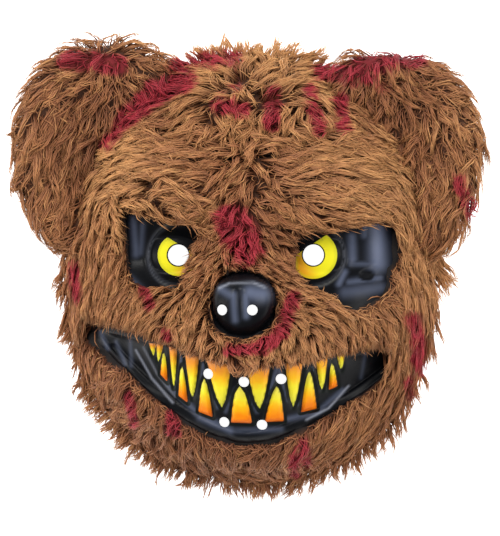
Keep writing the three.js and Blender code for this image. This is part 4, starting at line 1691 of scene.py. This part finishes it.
def make_stage(settings):
    work = bmesh.new()
    bmesh.ops.create_grid(work, x_segments=1, y_segments=1, size=4.0)
    bmesh.ops.translate(work, verts=work.verts, vec=(0, 0, -0.0004))
    mesh = bpy.data.meshes.new("floor")
    work.to_mesh(mesh)
    work.free()
    floor = new_object("floor", mesh)
    graph = Graph("floor")
    shade = graph.mix(graph.noise(3.0, 2.0), settings.floor, [channel * 0.985 for channel in settings.floor])
    mesh.materials.append(
        graph.finish(
            {
                "Base Color": shade,
                "Roughness": 0.9,
                "Emission Color": (1.0, 1.0, 1.0, 1.0),
                "Emission Strength": settings.floor_glow,
            }
        )
    )

    world = bpy.data.worlds.new("room")
    world.use_nodes = True
    world.node_tree.nodes["Background"].inputs["Color"].default_value = (0.87, 0.87, 0.87, 1.0)
    world.node_tree.nodes["Background"].inputs["Strength"].default_value = settings.room_light
    bpy.context.scene.world = world

    lamps = (
        ("key", (-0.35, 0.75, 1.15), 0.7, 0.5, 1.0),
        ("right", (0.95, 0.1, 0.75), 0.35, 0.9, 0.5),
        ("left", (-1.0, -0.05, 0.6), 0.3, 0.9, 0.4),
    )
    aim = Vector((0, 0, 0.04))
    for name, place, width, height, share in lamps:
        lamp = bpy.data.lights.new(name, "AREA")
        lamp.shape = "RECTANGLE"
        lamp.size = width
        lamp.size_y = height
        lamp.energy = settings.lamp_power * share
        lamp.color = (1.0, 0.985, 0.96)
        holder = bpy.data.objects.new(name, lamp)
        holder.location = place
        holder.rotation_euler = (aim - Vector(place)).to_track_quat("-Z", "Y").to_euler()
        bpy.context.scene.collection.objects.link(holder)

    lens = bpy.data.cameras.new("camera")
    lens.lens = 36.0 * settings.camera_distance / settings.view_height
    lens.sensor_width = 36.0
    camera = bpy.data.objects.new("camera", lens)
    away = Vector((math.sin(FRONT_TURN), 0.0, math.cos(FRONT_TURN)))
    middle = Vector((2.5 + FACE_SHIFT[0], 3.5 + FACE_SHIFT[1], FRONT_LEVEL)) * MM
    camera.location = middle + away * settings.camera_distance
    back = away
    right = Vector((math.cos(FRONT_TURN), 0.0, -math.sin(FRONT_TURN)))
    up = back.cross(right)
    camera.rotation_euler = Matrix((right, up, back)).transposed().to_euler()
    bpy.context.scene.collection.objects.link(camera)
    bpy.context.scene.camera = camera
    bpy.context.scene.view_settings.view_transform = "Standard"
    return floor


# What a user can change


def colour_setting(name, description, red, green, blue):
    return bpy.props.FloatVectorProperty(
        name=name,
        description=description,
        subtype="COLOR",
        size=3,
        min=0,
        max=1,
        default=display_colour(red, green, blue),
    )


class MaskShellSettings(bpy.types.PropertyGroup):
    wall: bpy.props.FloatProperty(
        name="Wall", description="Thickness of the plastic", unit="LENGTH", default=SHELL_WALL * MM
    )
    black: colour_setting("Plastic", "Colour of the bare plastic", 6, 7, 10)
    # The grey of the painted reflections on the glossy plastic
    sheen: colour_setting("Painted light", "Grey that is sprayed on the folds", 92, 100, 122)
    tooth: colour_setting("Teeth", "Yellow of the teeth", 228, 212, 44)
    iris: colour_setting("Iris", "Yellow of the eyes", 222, 214, 34)


class MaskPileSettings(bpy.types.PropertyGroup):
    lock_spacing: bpy.props.FloatProperty(
        name="Lock spacing", description="Between the roots of two locks", unit="LENGTH", default=3.8 * MM
    )
    strand_spacing: bpy.props.FloatProperty(
        name="Strand spacing", description="Between the roots of two strands", unit="LENGTH", default=0.95 * MM
    )
    strand_width: bpy.props.FloatProperty(
        name="Strand width", description="Width of a strand near its root", unit="LENGTH", default=0.66 * MM
    )
    # The backing's own colour, made dark to stand as painted shade between the roots
    shaded_backing: colour_setting("Backing", "Colour between the roots", 62, 36, 22)
    root: colour_setting("Root", "Colour of the pile at its roots", 100, 56, 34)
    shade: colour_setting("Shade", "Colour of the pile's darker parts", 124, 76, 48)
    main: colour_setting("Main", "Colour of most of the pile", 160, 104, 66)
    tip: colour_setting("Tip", "Colour of the ends of the pile", 188, 132, 86)
    # The colour of the painted highlight, on crests and pale regions
    highlight: colour_setting("Highlight", "Colour of the palest strands", 220, 166, 106)
    stain: colour_setting("Stain", "Red of the stains", 170, 44, 58)
    stain_deep: colour_setting("Deep stain", "Red of the stains at the roots", 122, 28, 38)
    # The stain's red where painted highlight falls on the locks' crests
    stain_light: colour_setting("Pale stain", "Red of the stains on pale strands", 196, 68, 72)


class MaskStageSettings(bpy.types.PropertyGroup):
    floor: colour_setting("Floor", "Colour of the floor", 244, 244, 244)
    floor_glow: bpy.props.FloatProperty(
        name="Floor glow", description="Light that the floor gives off", default=1.0
    )
    room_light: bpy.props.FloatProperty(name="Room light", description="Light from all sides", default=0.75)
    lamp_power: bpy.props.FloatProperty(
        name="Lamp power", description="Power of the brightest lamp", unit="POWER", default=13.0
    )
    camera_distance: bpy.props.FloatProperty(
        name="Camera distance", description="From the mask to the camera", unit="LENGTH", default=1.4
    )
    view_height: bpy.props.FloatProperty(
        name="View height", description="Height of what the camera sees", unit="LENGTH", default=0.268
    )


class MASK_OT_shell(bpy.types.Operator):
    """Makes the moulded plastic face with its painted eyes and teeth"""

    bl_idname = "mask.shell"
    bl_label = "Plastic face"

    def execute(self, context):
        made = make_shell(context.scene.mask_shell)
        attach(made, "root")
        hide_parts("face_shell")
        return {"FINISHED"}


class MASK_OT_head_pile(bpy.types.Operator):
    """Makes the six panels of long pile over the face"""

    bl_idname = "mask.head_pile"
    bl_label = "Head plush"

    def execute(self, context):
        make_head_pile(context.scene.mask_pile)
        return {"FINISHED"}


class MASK_OT_ears(bpy.types.Operator):
    """Makes the two plush ears"""

    bl_idname = "mask.ears"
    bl_label = "Plush ears"

    def execute(self, context):
        make_ears(context.scene.mask_pile)
        return {"FINISHED"}


class MASK_OT_stage(bpy.types.Operator):
    """Makes the floor, the lamps and the camera"""

    bl_idname = "mask.stage"
    bl_label = "Stage"

    def execute(self, context):
        make_stage(context.scene.mask_stage)
        return {"FINISHED"}


class MASK_PT_panel(bpy.types.Panel):
    bl_idname = "MASK_PT_panel"
    bl_label = "Bear mask"
    bl_space_type = "VIEW_3D"
    bl_region_type = "UI"
    bl_category = "Bear mask"

    def draw(self, context):
        layout = self.layout
        for operator in OPERATORS:
            layout.operator(operator.bl_idname)
        for name in SETTINGS:
            group = getattr(context.scene, name)
            for key in group.bl_rna.properties.keys():
                if key not in ("rna_type", "name"):
                    layout.prop(group, key)


SETTINGS = {
    "mask_shell": MaskShellSettings,
    "mask_pile": MaskPileSettings,
    "mask_stage": MaskStageSettings,
}
OPERATORS = (MASK_OT_shell, MASK_OT_head_pile, MASK_OT_ears, MASK_OT_stage)


def register():
    for name, group in SETTINGS.items():
        bpy.utils.register_class(group)
        setattr(bpy.types.Scene, name, bpy.props.PointerProperty(type=group))
    for made_class in (*OPERATORS, MASK_PT_panel):
        bpy.utils.register_class(made_class)


def unregister():
    for made_class in reversed((*OPERATORS, MASK_PT_panel)):
        bpy.utils.unregister_class(made_class)
    for name, group in SETTINGS.items():
        delattr(bpy.types.Scene, name)
        bpy.utils.unregister_class(group)


def main():
    register()
    bpy.ops.mask.shell()
    bpy.ops.mask.head_pile()
    bpy.ops.mask.ears()
    bpy.ops.mask.stage()
    bpy.context.view_layer.update()


if __name__ == "__main__":
    main()
